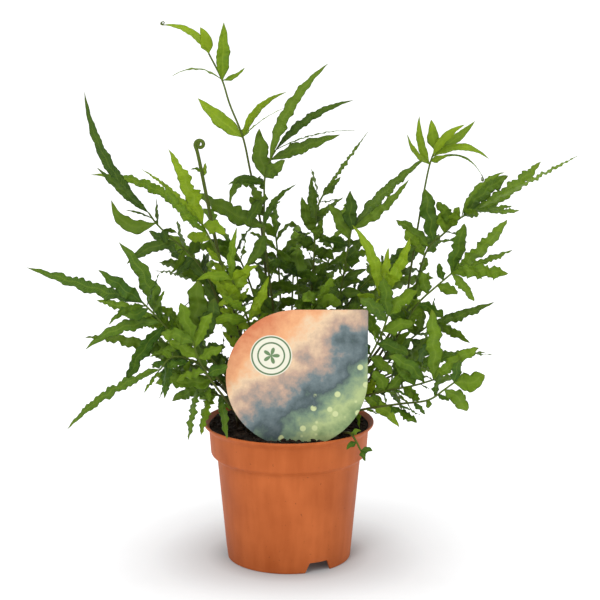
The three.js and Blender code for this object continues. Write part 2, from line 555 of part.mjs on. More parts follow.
// Everything that a leaf has to keep clear of is kept as points in a grid of cells
class Occupied {
  cells = new Map();
  cellOf(p) {
    return [p.x, p.y, p.z].map((c) => Math.floor(c / CLEARANCE));
  }
  add(points, owner, shy) {
    for (const p of points) {
      const key = this.cellOf(p).join();
      if (!this.cells.has(key)) this.cells.set(key, []);
      this.cells.get(key).push({ p, owner, shy: shy(p) });
    }
  }
  near(p) {
    const [x, y, z] = this.cellOf(p);
    const found = [];
    for (let i = -1; i <= 1; i++)
      for (let j = -1; j <= 1; j++)
        for (let k = -1; k <= 1; k++) found.push(...(this.cells.get([x + i, y + j, z + k].join()) ?? []));
    return found;
  }
  meets(points, owner, shy) {
    return points.some((p) =>
      this.near(p).some((other) => {
        const distance = other.p.distanceTo(p);
        if (other.owner !== owner) return distance < CLEARANCE;
        return other.shy && distance < OWN_CLEARANCE && shy(p);
      }),
    );
  }
}

// Points all over a blade, found between the corners of its sections
function leafPoints(leaf) {
  const rings = [[leaf.foot, leaf.foot, leaf.foot, leaf.foot], ...leafRings(leaf)];
  rings.push([leaf.tip, leaf.tip, leaf.tip, leaf.tip]);
  const points = [];
  for (let i = 1; i < rings.length; i++) {
    const [from, to] = [rings[i - 1], rings[i]];
    const rows = Math.ceil(from[1].distanceTo(to[1]) / SAMPLE_STEP);
    for (let row = 1; row <= rows; row++) {
      const [left, top, right, bottom] = from.map((corner, k) => corner.clone().lerp(to[k], row / rows));
      const rib = top.lerp(bottom, 0.5);
      const columns = Math.ceil(rib.distanceTo(left) / SAMPLE_STEP);
      points.push(rib);
      for (let k = 1; k <= columns; k++)
        points.push(rib.clone().lerp(left, k / columns), rib.clone().lerp(right, k / columns));
    }
  }
  return points;
}

// A leaf stays above the rim and the soil, and outside the wall
function meetsPot(p) {
  const radius = Math.hypot(p.x, p.y);
  return radius < LIP.radius + 2.5 && p.z < (radius > INSIDE[1][0] ? RIM_HEIGHT : SOIL_CROWN) + 2.5;
}

// The slot that holds a place on a curve, counted from the curve's end
function slotOf(curve, place) {
  const fine = 40;
  const rest = Array.from({ length: fine + 1 }, (_, i) => curve.getPoint(place + ((1 - place) * i) / fine));
  const run = rest.reduce((sum, point, i) => sum + (i ? point.distanceTo(rest[i - 1]) : 0), 0);
  return Math.floor(run / STEM.slot);
}

function stemFrom([x, y], route) {
  const ground = soilTop(x, y);
  const curve = new THREE.CatmullRomCurve3(
    [new THREE.Vector3(x, y, ground + STUB), ...route],
    false,
    "centripetal",
  );
  return {
    root: new THREE.Vector3(x, y, ground - ROOT_DEPTH),
    curve,
    at: (place) => curve.getPoint((place + 1) / route.length),
    slotAt: (place) => slotOf(curve, (place + 1) / route.length),
  };
}

// A young frond's end is rolled up like a watch spring, in the picture's plane
function rolledUp(route, { radius, turns, hand }) {
  const [x, h, y] = route.at(-1);
  const count = Math.round(8 * turns);
  const coil = Array.from({ length: count }, (_, i) => {
    const share = (i + 1) / count;
    const size = radius * (1 - 0.7 * share);
    const angle = hand * 2 * Math.PI * turns * share;
    return [x + hand * (radius - size * Math.cos(angle)), h + hand * size * Math.sin(angle), y];
  });
  return [...route, ...coil];
}

function measuredFrond([name, tone, root, route, leaflets, coil], seed) {
  const draw = draws(seed);
  const places = coil ? rolledUp(route, coil) : route;
  const stem = stemFrom(root, places.map((place) => fromFront(...place)));
  const leaves = leaflets.map(([at, across, up, width, bow, roll]) => {
    const foot = stem.at(at);
    const span = Math.hypot(across, up);
    const drift = (draw() - 0.5) * 0.5 * span;
    const tip = foot.clone().add(new THREE.Vector3(across, drift, up / Math.cos(VIEW_TILT)));
    tip.z -= drift * Math.tan(VIEW_TILT);
    const lift = across < 0 ? [up, -across] : [-up, across];
    const turn = (draw() < 0.5 ? -1 : 1) * (roll + 12 * draw());
    return {
      foot,
      slot: stem.slotAt(at),
      tip,
      width,
      bow: new THREE.Vector3(lift[0], 0, lift[1]).multiplyScalar(bow / span),
      bend: tip.clone().sub(EYE).normalize(),
      face: new THREE.Vector3(0, -1, 0),
      end: BLUNT_FRONDS.includes(name) ? "blunt" : "pointed",
      roll: THREE.MathUtils.degToRad(turn),
      twist: LOOSE * (draw() - 0.5),
    };
  });
  return { name, tone, stem, leaves };
}

// A frond grown by rule arches out along its azimuth and carries opposite pairs, forked low down
function ruleFrond([name, tone, root, azimuth, reach, height], seed) {
  const draw = draws(seed);
  const angle = THREE.MathUtils.degToRad(azimuth);
  const outward = new THREE.Vector3(Math.sin(angle), -Math.cos(angle), 0);
  const sideways = new THREE.Vector3(-outward.y, outward.x, 0);
  const up = new THREE.Vector3(0, 0, 1);
  const start = new THREE.Vector3(root[0], root[1], SOIL_CROWN);
  const rise = (share) => ((height - SOIL_CROWN) * Math.sin(share * RULE.arch)) / Math.sin(RULE.arch);
  const lean = (share) => reach * RULE.lean * share ** RULE.spread;
  const route = RULE.route.map((share) =>
    start.clone().addScaledVector(outward, lean(share)).addScaledVector(up, rise(share)),
  );
  const stem = stemFrom(root, route);
  const leaves = [];
  const along = stem.at(4).sub(stem.at(2)).normalize();
  const grow = (at, forward, aside, lift, width) => {
    const foot = stem.at(at);
    leaves.push({
      foot,
      slot: stem.slotAt(at),
      tip: foot.clone()
        .addScaledVector(along, forward)
        .addScaledVector(sideways, aside)
        .addScaledVector(up, lift),
      width,
      end: "blunt",
      bow: up.clone().multiplyScalar(2 + 3 * draw()),
      bend: up,
      face: outward.clone().add(RULE_FACE),
      roll: LOOSE * (draw() - 0.5),
      twist: LOOSE * (draw() - 0.5),
    });
  };
  const size = reach * RULE.size;
  grow(4, size * (0.9 + 0.2 * draw()), 8 * (draw() - 0.5), -8, 8);
  for (const [at, length] of PAIRS)
    for (const side of [-1, 1]) {
      const span = size * length * (0.85 + 0.35 * draw());
      grow(at + 0.15 * side, span * 0.62, side * span * 0.78, -span * 0.25 * draw(), 7.5 + 2 * draw());
      if (at < 3) grow(at - 0.3, span * 0.15, side * span * 0.6, -span * 0.3 * draw(), 7);
    }
  return { name, tone, stem, leaves };
}

// Bends each leaf, a step at a time, until it is clear of the other fronds, the pot and the label. A leaf
// that can't be bent clear is tried shorter, and then left out.
function settle(fronds, occupied) {
  for (const frond of fronds)
    frond.leaves = frond.leaves.filter((leaf) => {
      const tip = leaf.tip.clone();
      const shy = (p) => p.distanceTo(leaf.foot) > FREE_FOOT;
      for (const share of [1, 0.8, 0.6])
        for (let turn = 0; turn <= 2 * MOST_BENDS; turn++) {
          const bend = (turn % 2 ? -1 : 1) * Math.ceil(turn / 2) * BEND_STEP;
          leaf.tip = leaf.foot.clone().lerp(tip, share).addScaledVector(leaf.bend, bend * share);
          leaf.middle = leaf.foot.clone().lerp(leaf.tip, 0.5).addScaledVector(leaf.bow, 2 * share);
          const points = leafPoints(leaf);
          if (points.some(meetsPot) || occupied.meets(points, frond.name, shy)) continue;
          occupied.add(points, frond.name, shy);
          return true;
        }
      return false;
    });
}

const stemPoints = ({ curve }) => curve.getSpacedPoints(Math.ceil(curve.getLength() / 1.5));

function cardPoints() {
  const points = [];
  for (let x = -LABEL.radius; x <= LABEL.radius; x += SAMPLE_STEP)
    for (let z = -LABEL.radius; z <= LABEL.radius; z += SAMPLE_STEP)
      if (Math.hypot(x, z) < LABEL.radius || (x > 0 && z > 0))
        points.push(new THREE.Vector3(LABEL.x + x, LABEL.y, LABEL.z + z));
  return points;
}

const fronds = [
  ...FRONDS.map((row, i) => measuredFrond(row, i + 1)),
  ...RULE_FRONDS.map((row, i) => ruleFrond(row, 101 + i)),
];
const occupied = new Occupied();
occupied.add(cardPoints(), "label", () => true);
for (const frond of fronds) occupied.add(stemPoints(frond.stem), frond.name, () => true);
settle(fronds, occupied);

const material = (color, roughness) => new THREE.MeshStandardMaterial({ color, roughness, metalness: 0 });
const TONES = {
  old: material(0x3c5a1c, 0.6),
  leaf: material(0x4f7a1e, 0.6),
  young: material(0x7f9f24, 0.6),
};
const plant = new THREE.Group();
plant.add(meshOf("pot", potSolid(), material(0xb9623a, 0.5)));
plant.add(meshOf("soil", soilSolid([...FRONDS, ...RULE_FRONDS].map((row) => row[2])), material(0x241a14, 1)));
plant.add(meshOf("label", labelSolid(0), material(0xd8b48c, 0.4)));
for (const frond of fronds) plant.add(meshOf("frond_" + frond.name, frondSolid(frond), TONES[frond.tone]));

export default plant;
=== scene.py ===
"""A potted lace fern: a terracotta-coloured nursery pot, its crumbly soil, a printed card and the fronds.

Sizes are in millimetres, and every mesh is scaled to metres as it is made. +Z is up and the front of the
plant looks along -Y, with the origin in the centre of the pot's underside.
"""
import math
from itertools import product

import bmesh
import bpy
from mathutils import Matrix, Vector, kdtree, noise


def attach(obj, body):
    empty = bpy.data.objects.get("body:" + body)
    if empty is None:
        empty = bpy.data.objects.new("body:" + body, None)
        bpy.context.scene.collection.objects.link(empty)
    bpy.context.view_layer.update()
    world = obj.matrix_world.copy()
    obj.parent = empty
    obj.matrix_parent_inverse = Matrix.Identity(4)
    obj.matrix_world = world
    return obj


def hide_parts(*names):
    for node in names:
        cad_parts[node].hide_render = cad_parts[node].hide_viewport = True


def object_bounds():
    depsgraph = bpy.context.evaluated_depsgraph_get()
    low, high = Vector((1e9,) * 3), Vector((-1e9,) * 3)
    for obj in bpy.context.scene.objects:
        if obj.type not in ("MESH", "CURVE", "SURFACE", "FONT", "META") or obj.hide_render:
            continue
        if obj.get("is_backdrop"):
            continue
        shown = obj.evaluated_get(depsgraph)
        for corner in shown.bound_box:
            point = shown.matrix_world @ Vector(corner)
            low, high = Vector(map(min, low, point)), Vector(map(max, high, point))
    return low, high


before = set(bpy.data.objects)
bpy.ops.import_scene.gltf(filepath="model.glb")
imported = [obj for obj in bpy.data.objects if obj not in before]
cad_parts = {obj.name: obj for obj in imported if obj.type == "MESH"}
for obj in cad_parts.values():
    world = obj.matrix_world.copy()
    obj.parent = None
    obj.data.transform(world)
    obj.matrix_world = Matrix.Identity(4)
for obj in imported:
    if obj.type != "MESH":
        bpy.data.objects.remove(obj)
CAD_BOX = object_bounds()
MM = 0.001

# The camera: a long lens a little above the horizon
VIEW_TILT = math.radians(12)
VIEW_CENTRE = 187
VIEW_DISTANCE = 1400
CAMERA_ASIDE = 8
CAMERA_ANGLE = math.radians(17.1)

# The pot's outer profile as radius and height, its wall and its raised floor
BASE_RADIUS = 44
SHOULDER = (50.9, 73.4)
COLLAR_FOOT = (55.3, 77)
COLLAR_TOP = (56.6, 94.4)
LIP = (60.4, 98)
LIP_EDGE = 1
RIM_HEIGHT = 99.6
WALL = 1.4
FLOOR_UNDERSIDE = 7.6
PAD_RADIUS = 14
POT_SIDES = 160
NOTCH_COUNT = 3
NOTCH_AZIMUTH = math.radians(28.4)
NOTCH = {"foot": 21, "roof": 14, "height": 7.6}
DRAIN = {"radius": 3.5, "place": 28}

# The soil
GAP = 0.3
SOIL_EDGE = (56.4, 97)
SOIL_CROWN = 100
SOIL_BUMP = 1.1
SOIL_MESH = {"rows": 46, "sides": 144, "rough": 1.3, "grain": 0.28, "sunk": 0.2, "edge": 3}
STUB = 3
ROOT_DEPTH = 14
CRUMBS = {"count": 760, "slivers": 0.15, "edge": 1.5, "lumpy": 0.35}

# The label, with the steps along its right side, its square corner and the rest, and the badge on it
LABEL = {"x": 5.8, "y": -46, "z": 141.5, "radius": 48.5, "thick": 0.6, "corner": 1.6, "bevel": 0.12}
STAKE = {"width": 13, "tip": 60, "point": 9}
CARD_STEPS = (40, 6, 90)
BADGE = {"left": 0.36, "up": 0.34, "radius": 0.3, "rings": (0.9, 0.62), "petals": 5}

# Stems and leaflets. The frame's leaflets have a section each COARSE_STEP and sway by COARSE_WAVE, of
# which the share KEPT_WAVE stays. A leaflet wanders from its line, its tip drifts to the front or back by
# up to half of DRIFT, and its roll in degrees grows by up to MORE_ROLL.
STEM = {"radius": 1.05, "tip": 0.62, "coil": 1.3, "sides": 8, "step": 2.4, "coil_step": 0.3,
        "samples": 60}
COIL = {"steps": 8, "shrink": 0.7}
COARSE_STEP = 7.5
COARSE_MOST = 10
COARSE_WAVE = 0.2
COARSE_RUFFLE = 0.1
TAPER = {"pointed": 2.1, "blunt": 4.5}
WIDEST = 0.3
KEPT_WAVE = 0.4
LEAF = {"row": 0.85, "fewest": 9, "half": 4, "thick": 0.2, "thin": 0.5, "notch": 0.34, "frill": 0.11,
        "fold": 0.18, "rib": 0.2}
WANDER = {"aside": 0.09, "out": 0.07, "run": 2.6}
DRIFT = 0.5
MORE_ROLL = 12
LOOSE = math.radians(50)

# How uneven a leaflet's edge is: strength of the change and its rate along the edge
UNEVEN = {"pitch": (1.4, 0.07), "depth": (0.9, 0.09), "swing": (0.8, 0.11)}

# The frame's leaflets are bent in steps, and shortened to a share, where they had no room. A leaflet is
# one of the frame's if a corner of the frame lies within SAME_PLACE of its tip.
BEND_STEP = 5
MOST_BENDS = 9
SHORTENED = (1, 0.8, 0.6)
SAME_PLACE = 0.05

# How wavy a frond's leaflets are, where it isn't the usual 1
WAVINESS = {"tall_left": 0.35, "tall_right": 0.3, "upper_centre": 0.8, "far_left_upper": 0.6,
            "bright_right": 0.8}

# How light a frond's leaflets are among those of its colour, where it isn't the usual 0.5
LIGHTNESS = {"left_long": 0.3, "low_left": 0.3, "broad_left": 0.35, "right_big": 0.6, "bright_right": 0.8}

# Leaflets too small for the frame: lobes forked off the large ones, and sprouts along the stems. Where two
# numbers stand together, a value is drawn that is the first plus up to the second.
FORK = {"from": 26, "chance": 0.6, "angle": math.radians(40), "turn": (0.8, 0.5), "at": (0.06, 0.2),
        "size": (0.24, 0.2), "width": 0.72}
SPROUT = {"step": 7, "spacing": (0.7, 0.6), "start": 0.36, "angle": (0.5, 0.6), "length": (11, 17),
          "blunt": 0.6, "width": 3.4, "widen": 0.17}
PLAIN_FRONDS = ["tall_left", "tall_right", "fiddlehead", "bright_right", "rim_sprig", "soil_sprig"]
ROOM = 1.6
FREE_FOOT = 4
CLEAR_OF = {"card_edge": 2, "card_face": 2.5, "pot": 3}

# Leaflets whose tips end in a small curl: frond and number in its list
CURLS = [("tall_left", 1), ("tall_right", 7)]
CURL = {"radius": 1.7, "turns": 1.4, "thick": 0.35, "steps": 14, "shrink": 0.65, "overlap": 3,
        "tint": 0.95}

# The fronds that the front shows: name, tone, root as [x, y], the stem's route as [across, up, depth] in
# the view, and its leaflets as [place on the stem, across, up, width, bow, roll in degrees]. The place is
# counted in points of the route. A frond that is rolled up has its coil last.
FRONDS = [
    ["tall_left", "young", [-8, 8],
     [[-11.5, 155, 9], [-16.5, 206, 10], [-18.5, 229, 11], [-22, 250, 12], [-27, 274, 13],
      [-32, 297, 15], [-41.5, 321, 18], [-46.5, 337, 20], [-56, 356, 22]],
     [[8, -5.6, 17.5, 9, 1, 10], [8, -32, 19, 6, 6, 30], [7, 1.4, 40, 9.5, 0, 0],
      [7, -36, 3.5, 6, 7, 75], [7, 16, 8.4, 5, -2, 50], [5, -32, 28, 10.5, -1, 5],
      [5, 31, 31.5, 6.5, 6, 20], [5, 29, 20, 5, 2, 65], [5, 3.5, 11, 6, 0, 20],
      [5, 17.5, -2, 7, 3, 20]]],
    ["upper_centre", "old", [-2, 0],
     [[-8, 155, -2], [-13.5, 199, -3], [-17, 229, -3], [-17, 253, -2], [-16.5, 269, 0], [-13, 281, 2],
      [-9, 288, 3]],
     [[6, 54, 33.6, 6.5, 6, 10], [5, 40.6, 64.4, 8, 7, 10], [6, 55, 12.6, 5, 4, 70],
      [5, 49, 18, 8.5, 1, 10], [4, -4, 34, 12, -1, 0], [3.7, -24, -15, 9, 10, 20],
      [5, 23, 37, 4.5, -2, 60], [4, 14, 12, 10, 0, 10], [3.6, -25, 1, 8, 4, 20],
      [3, -11, -18, 9, 2, 20], [2.2, 23, 29, 6, 5, 20], [2.2, 9, 20, 4, 1, 60],
      [2.2, -49, 25, 13, -1, 5], [2.5, -14, 20, 9, 0, 15], [2, -13, -22, 9, -2, 10]]],
    ["fiddlehead", "young", [-14, 3],
     [[-35.4, 162, 5], [-46.6, 204, 6], [-53.6, 236, 6], [-59.2, 264, 6], [-64, 287, 6],
      [-65.5, 292, 6]],
     [[3.2, 2, 10, 4.5, 0, 20], [3.3, -8, 3, 3, 2, 30]],
     {"radius": 3.4, "turns": 1.3, "hand": 1}],
    ["light_left", "young", [-12, -6],
     [[-34, 159, -12], [-46, 206, -18], [-53, 222, -20], [-60, 235, -22]],
     [[3, -23, 52, 11, 2, 5], [3, -78, 35, 7.5, 10, 15], [3, -41, 38, 5, 3, 50],
      [2.6, -30, 36, 8, -3, 20], [3, 8, 24, 10, 0, 10], [3, 16, -6, 10, 2, 15]]],
    ["far_left_upper", "old", [-20, 2],
     [[-42, 162, 0], [-58, 201, -3], [-71, 217, -5], [-83, 227, -7], [-93, 237, -8], [-98, 244, -9]],
     [[5, -43, 83, 7.5, -9, 10], [5, -35, 31, 7.5, 0, 20], [4, -31, 16, 10, -10, 5],
      [5, -15, 43, 4.5, 0, 55], [4.4, -19, 6, 3.5, 1, 70], [3.5, 3, -9, 7, 0, 20],
      [3.5, 10, -2, 5, 1, 40], [2.6, -35, -15, 8.5, 4, 20], [2.2, -10, -18, 5, -2, 20],
      [1.8, 6, 14, 9, 0, 20], [1.6, -12, -12, 8, 3, 20]]],
    ["left_long", "leaf", [-20, -12],
     [[-34, 113, -20], [-62, 140, -32], [-76, 153, -40], [-86.5, 165, -46], [-97, 176, -50],
      [-102, 181, -52]],
     [[5, -79, 24, 9, 0, 10], [5, -29, 22, 10, 0, 10], [4.2, -21, -2, 8, -3, 15],
      [4.5, -26, -13, 6, 4, 15], [3.3, -27, 53, 11, 4.5, 0], [3.2, -53, -19, 8, 6, 20],
      [3, -27, -43, 10, 4, 15], [2.7, -16, -8, 6, 2, 30]]],
    ["low_left", "leaf", [-20, -24],
     [[-39.5, 116, -36], [-53.5, 131.5, -46], [-69, 141, -56], [-81.5, 143, -62], [-90, 134, -66]],
     [[4, -65, -42, 7.5, 6, 20], [3.3, -3, -27, 7, 0, 10], [0.8, -32, -2, 10, -3, 20],
      [4, -18, -8, 4, 2, 50], [4, -11, -16, 4, 0, 50], [3.6, -4, -24, 4, -2, 55],
      [2, -5, -14, 5, 0, 30], [3, -7, 4, 6, 0, 30], [1, 4, -16, 9, 0, 20]]],
    ["broad_left", "old", [-12, -20],
     [[-37, 122, -28], [-58, 146, -38], [-67.5, 154, -42]],
     [[2, 4, 42, 14, -1, 0], [1.7, 13, 32, 12, -2, 5], [1.2, 16, 2, 7, 1, 20], [1.5, -10, 16, 9, 1, 15],
      [1, 14, -6, 8, 0, 20]]],
    ["bright_centre", "young", [-3, -15],
     [[-18.5, 127, -20], [-23.5, 152, -25], [-28, 168, -30], [-34, 183, -34], [-39.5, 197, -37]],
     [[4, 3.5, 36, 6, 2, 15], [4, -24, 0, 7, 3, 15], [3.6, 10, 14, 11, 0, 10], [2, -29, -2, 8, 3, 15],
      [2, 14, 31, 8, -1, 10], [3, -16, -5, 7, 2, 20], [3, -10, 12, 9, 0, 10], [4, 18, 10, 8, 1, 20],
      [2.4, -17, 13, 9, 1, 15], [1.6, 12, 12, 8, 0, 20]]],
    ["centre_dark", "old", [2, 13],
     [[5, 155, 14], [7, 183, 13], [6, 199.5, 12]],
     [[2, 1, 20, 12, 0, 10], [2, -13, 19, 9, -1, 10], [2, -21, 9, 9, 3, 15], [1.4, -22, 2, 9, 2, 15],
      [2, 15, -3, 8, 2, 20], [2, 10, 12, 9, 0, 15], [1, -18, -8, 8, 2, 20], [1, 18, 6, 7, 0, 20]]],
    ["centre_right", "old", [10, 21],
     [[12, 155, 22], [16, 190, 24], [18, 217, 25], [18.5, 235, 26], [21, 250, 27], [25.5, 259, 28]],
     [[5, 30, 41, 4.5, 0, 45], [4.6, 13, 14, 6, 0, 20], [3, -3, 35, 8, 0, 10], [2.7, -9, 26, 9, -1, 10],
      [3, 20, 20, 5, 2, 40], [2.3, -14, 3, 8, 0, 20], [2, 14, -6, 10, 2, 15], [2, -8, 10, 9, 0, 20],
      [1.4, 12, 8, 8, 0, 20], [1.2, -10, 4, 8, 1, 20]]],
    ["dark_right", "old", [12, 3],
     [[23.5, 141, 2], [33, 173, 0], [38, 197, -2], [41.5, 218, -3], [44, 232, -4]],
     [[4, -1, 27, 10, 0, 5], [4, 53, 51, 7.5, 3, 20], [4, 40, 35, 7, -3, 20], [4, 31, 32, 4, 0, 60],
      [3.5, -15, 25, 9, 1, 15], [3.2, -22, 3, 9, 2, 15], [2.6, 10, 0, 9, 1, 15], [2, 17, 8, 6, 0, 20],
      [1.6, 16, -3, 8, 2, 20], [1.6, -16, 4, 9, 1, 20]]],
    ["bright_right", "young", [13, -9],
     [[39.5, 131, -18], [51.5, 159, -24], [59, 178, -28], [63.5, 186, -30]],
     [[3, -19, 48, 8, 5, 5], [3, 6, 33, 7, -1, 10], [3, 22, 41, 9, -3, 5], [2.4, -13, 5, 8, 1, 20],
      [2.6, 3, -14, 8, 0, 20], [2, 14, 4, 8, 1, 20]]],
    ["tall_right", "young", [20, 13],
     [[43, 124, 15], [72.5, 162, 18], [81.5, 181, 20], [86.5, 210, 22], [93, 248, 24], [99, 278, 26],
      [102.5, 288, 27]],
     [[6, -3, 21, 8.5, 0, 5], [5, -8, 33, 6, -3, 10], [5, -16, 21, 4.5, -3, 20],
      [5.9, 29, 22, 7.5, -2, 10], [5.6, 23, 22, 6.5, 3, 20], [5.5, 40, -2, 6, 8, 20],
      [5.75, 34, 11, 6, 2, 20], [5.2, 37, -12, 2.5, 10, 50], [5.2, 12, 3.5, 5, 0, 30]]],
    ["right_big", "leaf", [22, 4],
     [[48.5, 124, 4], [75, 162, 4], [86.5, 183, 2], [92, 203, 0], [98.5, 220, -2], [109.5, 230, -4],
      [120, 240, -6], [127, 244, -8]],
     [[7, 73, 38.5, 6, 0, 40], [7, 50, 36, 9, -3, 10], [6.4, 31, 28, 10, 3, 10],
      [6.2, 30, 31, 5, 6, 50], [7, 30, 5, 5, 0, 40], [5.6, -12, 15, 8, 0, 15], [5, -1, 20, 9, 0, 10],
      [4.3, -6, 37, 11, 0, 5], [4, -23, 19, 8, 1, 10], [3.6, -14, 18, 7.5, 0, 20],
      [5.4, 6, 14, 7, 0, 20]]],
    ["right_mid", "leaf", [23, -6],
     [[53.5, 124, -12], [73, 152, -18], [90.5, 180, -24], [104.5, 193, -28], [114.5, 201.5, -30]],
     [[4, 8, 34, 10, 0, 5], [4, 38, 37, 9.5, -2, 10], [4, 41, 16, 6, 0, 45], [4, 39, 0, 11, 2, 10],
      [4, 16, -19, 6, 1, 20], [3.4, -3, 12, 6, 0, 30], [3, 14, -6, 9, 1, 15], [2.5, -4, 15, 8, 0, 20],
      [2, 18, -10, 9, 2, 20], [1.5, -14, 10, 8, 1, 20]]],
    ["right_back", "old", [28, 16],
     [[55.5, 124, 22], [81.5, 152, 28], [99, 166, 32]],
     [[2, 46, 16, 7.5, -1, 20], [2, 15, 0, 4, 0, 50], [2, 30, -14, 8, 2, 20], [1.4, -6, 16, 8, 0, 20],
      [1.2, 14, -12, 8, 1, 20], [1, -10, 8, 8, 1, 20]]],
    ["right_front", "leaf", [17, -19],
     [[43, 112, -30], [67.5, 119, -40], [88.5, 123, -47], [102, 127, -52]],
     [[3, -2, 48, 10, 1, 0], [3, 30, 22, 8, 2, 15], [2, -14, 16, 10, 2, 10], [2.5, -24, 18, 9, 3, 15],
      [1.6, 12, -8, 8, 0, 20], [1, -8, 14, 9, 1, 15], [3, 14, 2, 8, 0, 20]]],
    ["low_right", "leaf", [8, -24],
     [[39.5, 103, -36], [57, 107, -45], [78, 110, -54], [99, 113, -60], [109.5, 120, -63],
      [116.5, 125, -65]],
     [[5, 3, 15, 7, 0, 15], [5, 21, 5, 12, -2, 10], [4, 16, -15, 10, 2, 15], [3, -1, -6, 4, 0, 30],
      [3.5, 8, -4, 4, 0, 40], [2.6, -5, 10, 6, 0, 30]]],
    ["right_inner", "leaf", [33, -21],
     [[45, 125, -29], [57, 143, -36], [65, 158, -41], [70, 172, -44]],
     [[3, -3, 26, 9, 0, 5], [3, 20, 17, 9, 2, 15], [2.7, -18, 16, 9, 2, 15], [2.2, 21, 6, 9, 1, 15],
      [1.8, -12, 22, 8, 1, 20], [1.6, 22, -8, 9, 2, 20], [1.1, -14, 14, 8, 0, 20],
      [1, 16, -12, 8, 1, 20]]],
    ["left_inner", "leaf", [-28, -27],
     [[-43, 112, -41], [-55, 128, -53], [-63, 142, -59], [-67, 154, -62]],
     [[3, -8, 26, 9, 0, 5], [2.6, 12, 24, 8, 1, 15], [2.9, -22, 6, 9, 2, 15], [2, -20, 12, 8, 1, 20],
      [2, 16, 8, 9, 0, 20], [1.3, -20, -6, 8, 2, 20], [1.2, 14, 6, 8, 0, 20], [0.7, -14, 4, 8, 1, 20]]],
    ["rim_sprig", "leaf", [35.5, -35],
     [[40, 90, -41], [44, 89, -49], [48, 83, -55], [51, 77, -57]],
     [[1, 7, 2, 5, 1, 10], [2, -7, -5, 4, 1, 20], [3, 8, 0, 5, 1, 10], [3, 3, -7, 4, 0, 20]]],
    ["soil_sprig", "young", [-36, -12],
     [[-36.5, 102, -13], [-38, 108, -14]],
     [[1, -9, 0, 5, 1, 10], [0.3, 8, -2, 5, 1, 20]]],
    ["hanging_right", "young", [30, -14],
     [[40, 108, -17], [52, 115, -22]],
     [[1, 26, -22, 9.5, 3, 10], [0.6, 3, -20, 5, 0, 40], [1, 10, 14, 8, 0, 20]]],
]

# The fronds of the list above whose leaflets have round tips
BLUNT_FRONDS = [
    "broad_left", "centre_dark", "right_big", "right_mid", "right_front", "low_right", "right_inner",
    "left_inner",
]

# Fronds of the back and sides follow one rule: name, tone, root, azimuth from the front in degrees,
# reach from the crown and height of the tip.
RULE_FRONDS = [
    ["back_left_low", "leaf", [-30, 8], -98, 118, 165],
    ["back_left", "old", [-24, 20], -132, 120, 195],
    ["back_left_inner", "leaf", [-12, 28], -142, 95, 212],
    ["back_centre", "leaf", [1, 31], 178, 125, 190],
    ["back_right_inner", "leaf", [14, 31], 158, 100, 210],
    ["back_right", "old", [27, 27], 130, 120, 190],
    ["back_right_low", "leaf", [38, 6], 100, 105, 136],
    ["front_left_low", "leaf", [-30, -16], -62, 95, 135],
    ["left_low", "old", [-34, -4], -84, 110, 150],
    ["right_low", "leaf", [38, -5], 84, 105, 140],
    ["crown_left", "leaf", [-22, 11], -116, 85, 200],
    ["crown_front", "leaf", [4, 5], 27, 70, 190],
    ["crown_right", "old", [20, 22], 60, 95, 205],
    ["crown_back", "leaf", [-4, 20], -172, 80, 222],
]

# The rule: the points of the stem as shares of its run, how it arches, how far it leans out and the size
# of its leaflets, both as shares of its reach, and the pairs as [stem point, length]. A pair's leaflets
# head ahead, aside and down by shares of their length, and their feet stand apart in stem points.
RULE = {"route": [0.25, 0.5, 0.72, 0.88, 1], "arch": 1.2, "lean": 0.5, "spread": 1.6, "size": 0.5}
PAIRS = [[3.7, 0.55], [2.7, 0.72], [1.7, 0.75]]
PAIR_HEADING = {"ahead": 0.62, "aside": 0.78, "apart": 0.15, "drop": 0.25}
RULE_FACE = Vector((0, -0.3, 0.6))

# The random draws: state = (state * factor + step) % range, from seed * spread + first
DRAW = {"factor": 1664525, "step": 1013904223, "range": 2**32, "spread": 7919, "first": 17}

EYE = Vector((0, -math.cos(VIEW_TILT), math.sin(VIEW_TILT))) * VIEW_DISTANCE + Vector((0, 0, VIEW_CENTRE))


def add_camera():
    camera = bpy.data.objects.new("camera", bpy.data.cameras.new("camera"))
    camera.data.angle = CAMERA_ANGLE
    camera.location = (EYE + Vector((CAMERA_ASIDE, 0, 0))) * MM
    camera.rotation_euler = (math.pi / 2 - VIEW_TILT, 0, 0)
    bpy.context.collection.objects.link(camera)
    bpy.context.scene.camera = camera


def smoothstep(low, high, value):
    share = min(1, max(0, (value - low) / (high - low)))
    return share * share * (3 - 2 * share)


def draws(seed):
    """Random numbers from 0 to 1 that come out the same each time."""
    state = seed * DRAW["spread"] + DRAW["first"]
    while True:
        state = (state * DRAW["factor"] + DRAW["step"]) % DRAW["range"]
        yield state / DRAW["range"]


def drawn(draw, low, spread):
    return low + spread * next(draw)


# Where the fronds are

def from_front(x, h, y):
    """The point at depth y that is seen at x across and h up the view."""
    up = Vector((0, math.sin(VIEW_TILT), math.cos(VIEW_TILT)))
    sight = Vector((x, 0, VIEW_CENTRE)) + up * (h - VIEW_CENTRE * math.cos(VIEW_TILT)) - EYE
    return EYE + sight * ((y - EYE.y) / sight.y)


def curve_point(points, place):
    """A smooth curve through the points, at a place counted in points from the first."""
    first = min(int(place), len(points) - 2)
    share = place - first
    one, two = points[first], points[first + 1]
    before = points[first - 1] if first > 0 else one * 2 - two
    after = points[first + 2] if first + 2 < len(points) else two * 2 - one
    steps = [math.sqrt((q - p).length) for p, q in ((before, one), (one, two), (two, after))]
    leave = (one - before) / steps[0] - (two - before) / (steps[0] + steps[1]) + (two - one) / steps[1]
    arrive = (two - one) / steps[1] - (after - one) / (steps[1] + steps[2]) + (after - two) / steps[2]
    leave *= steps[1]
    arrive *= steps[1]
    bend = (two - one) * 3 - leave * 2 - arrive
    close = (one - two) * 2 + leave + arrive
    return one + leave * share + bend * share**2 + close * share**3


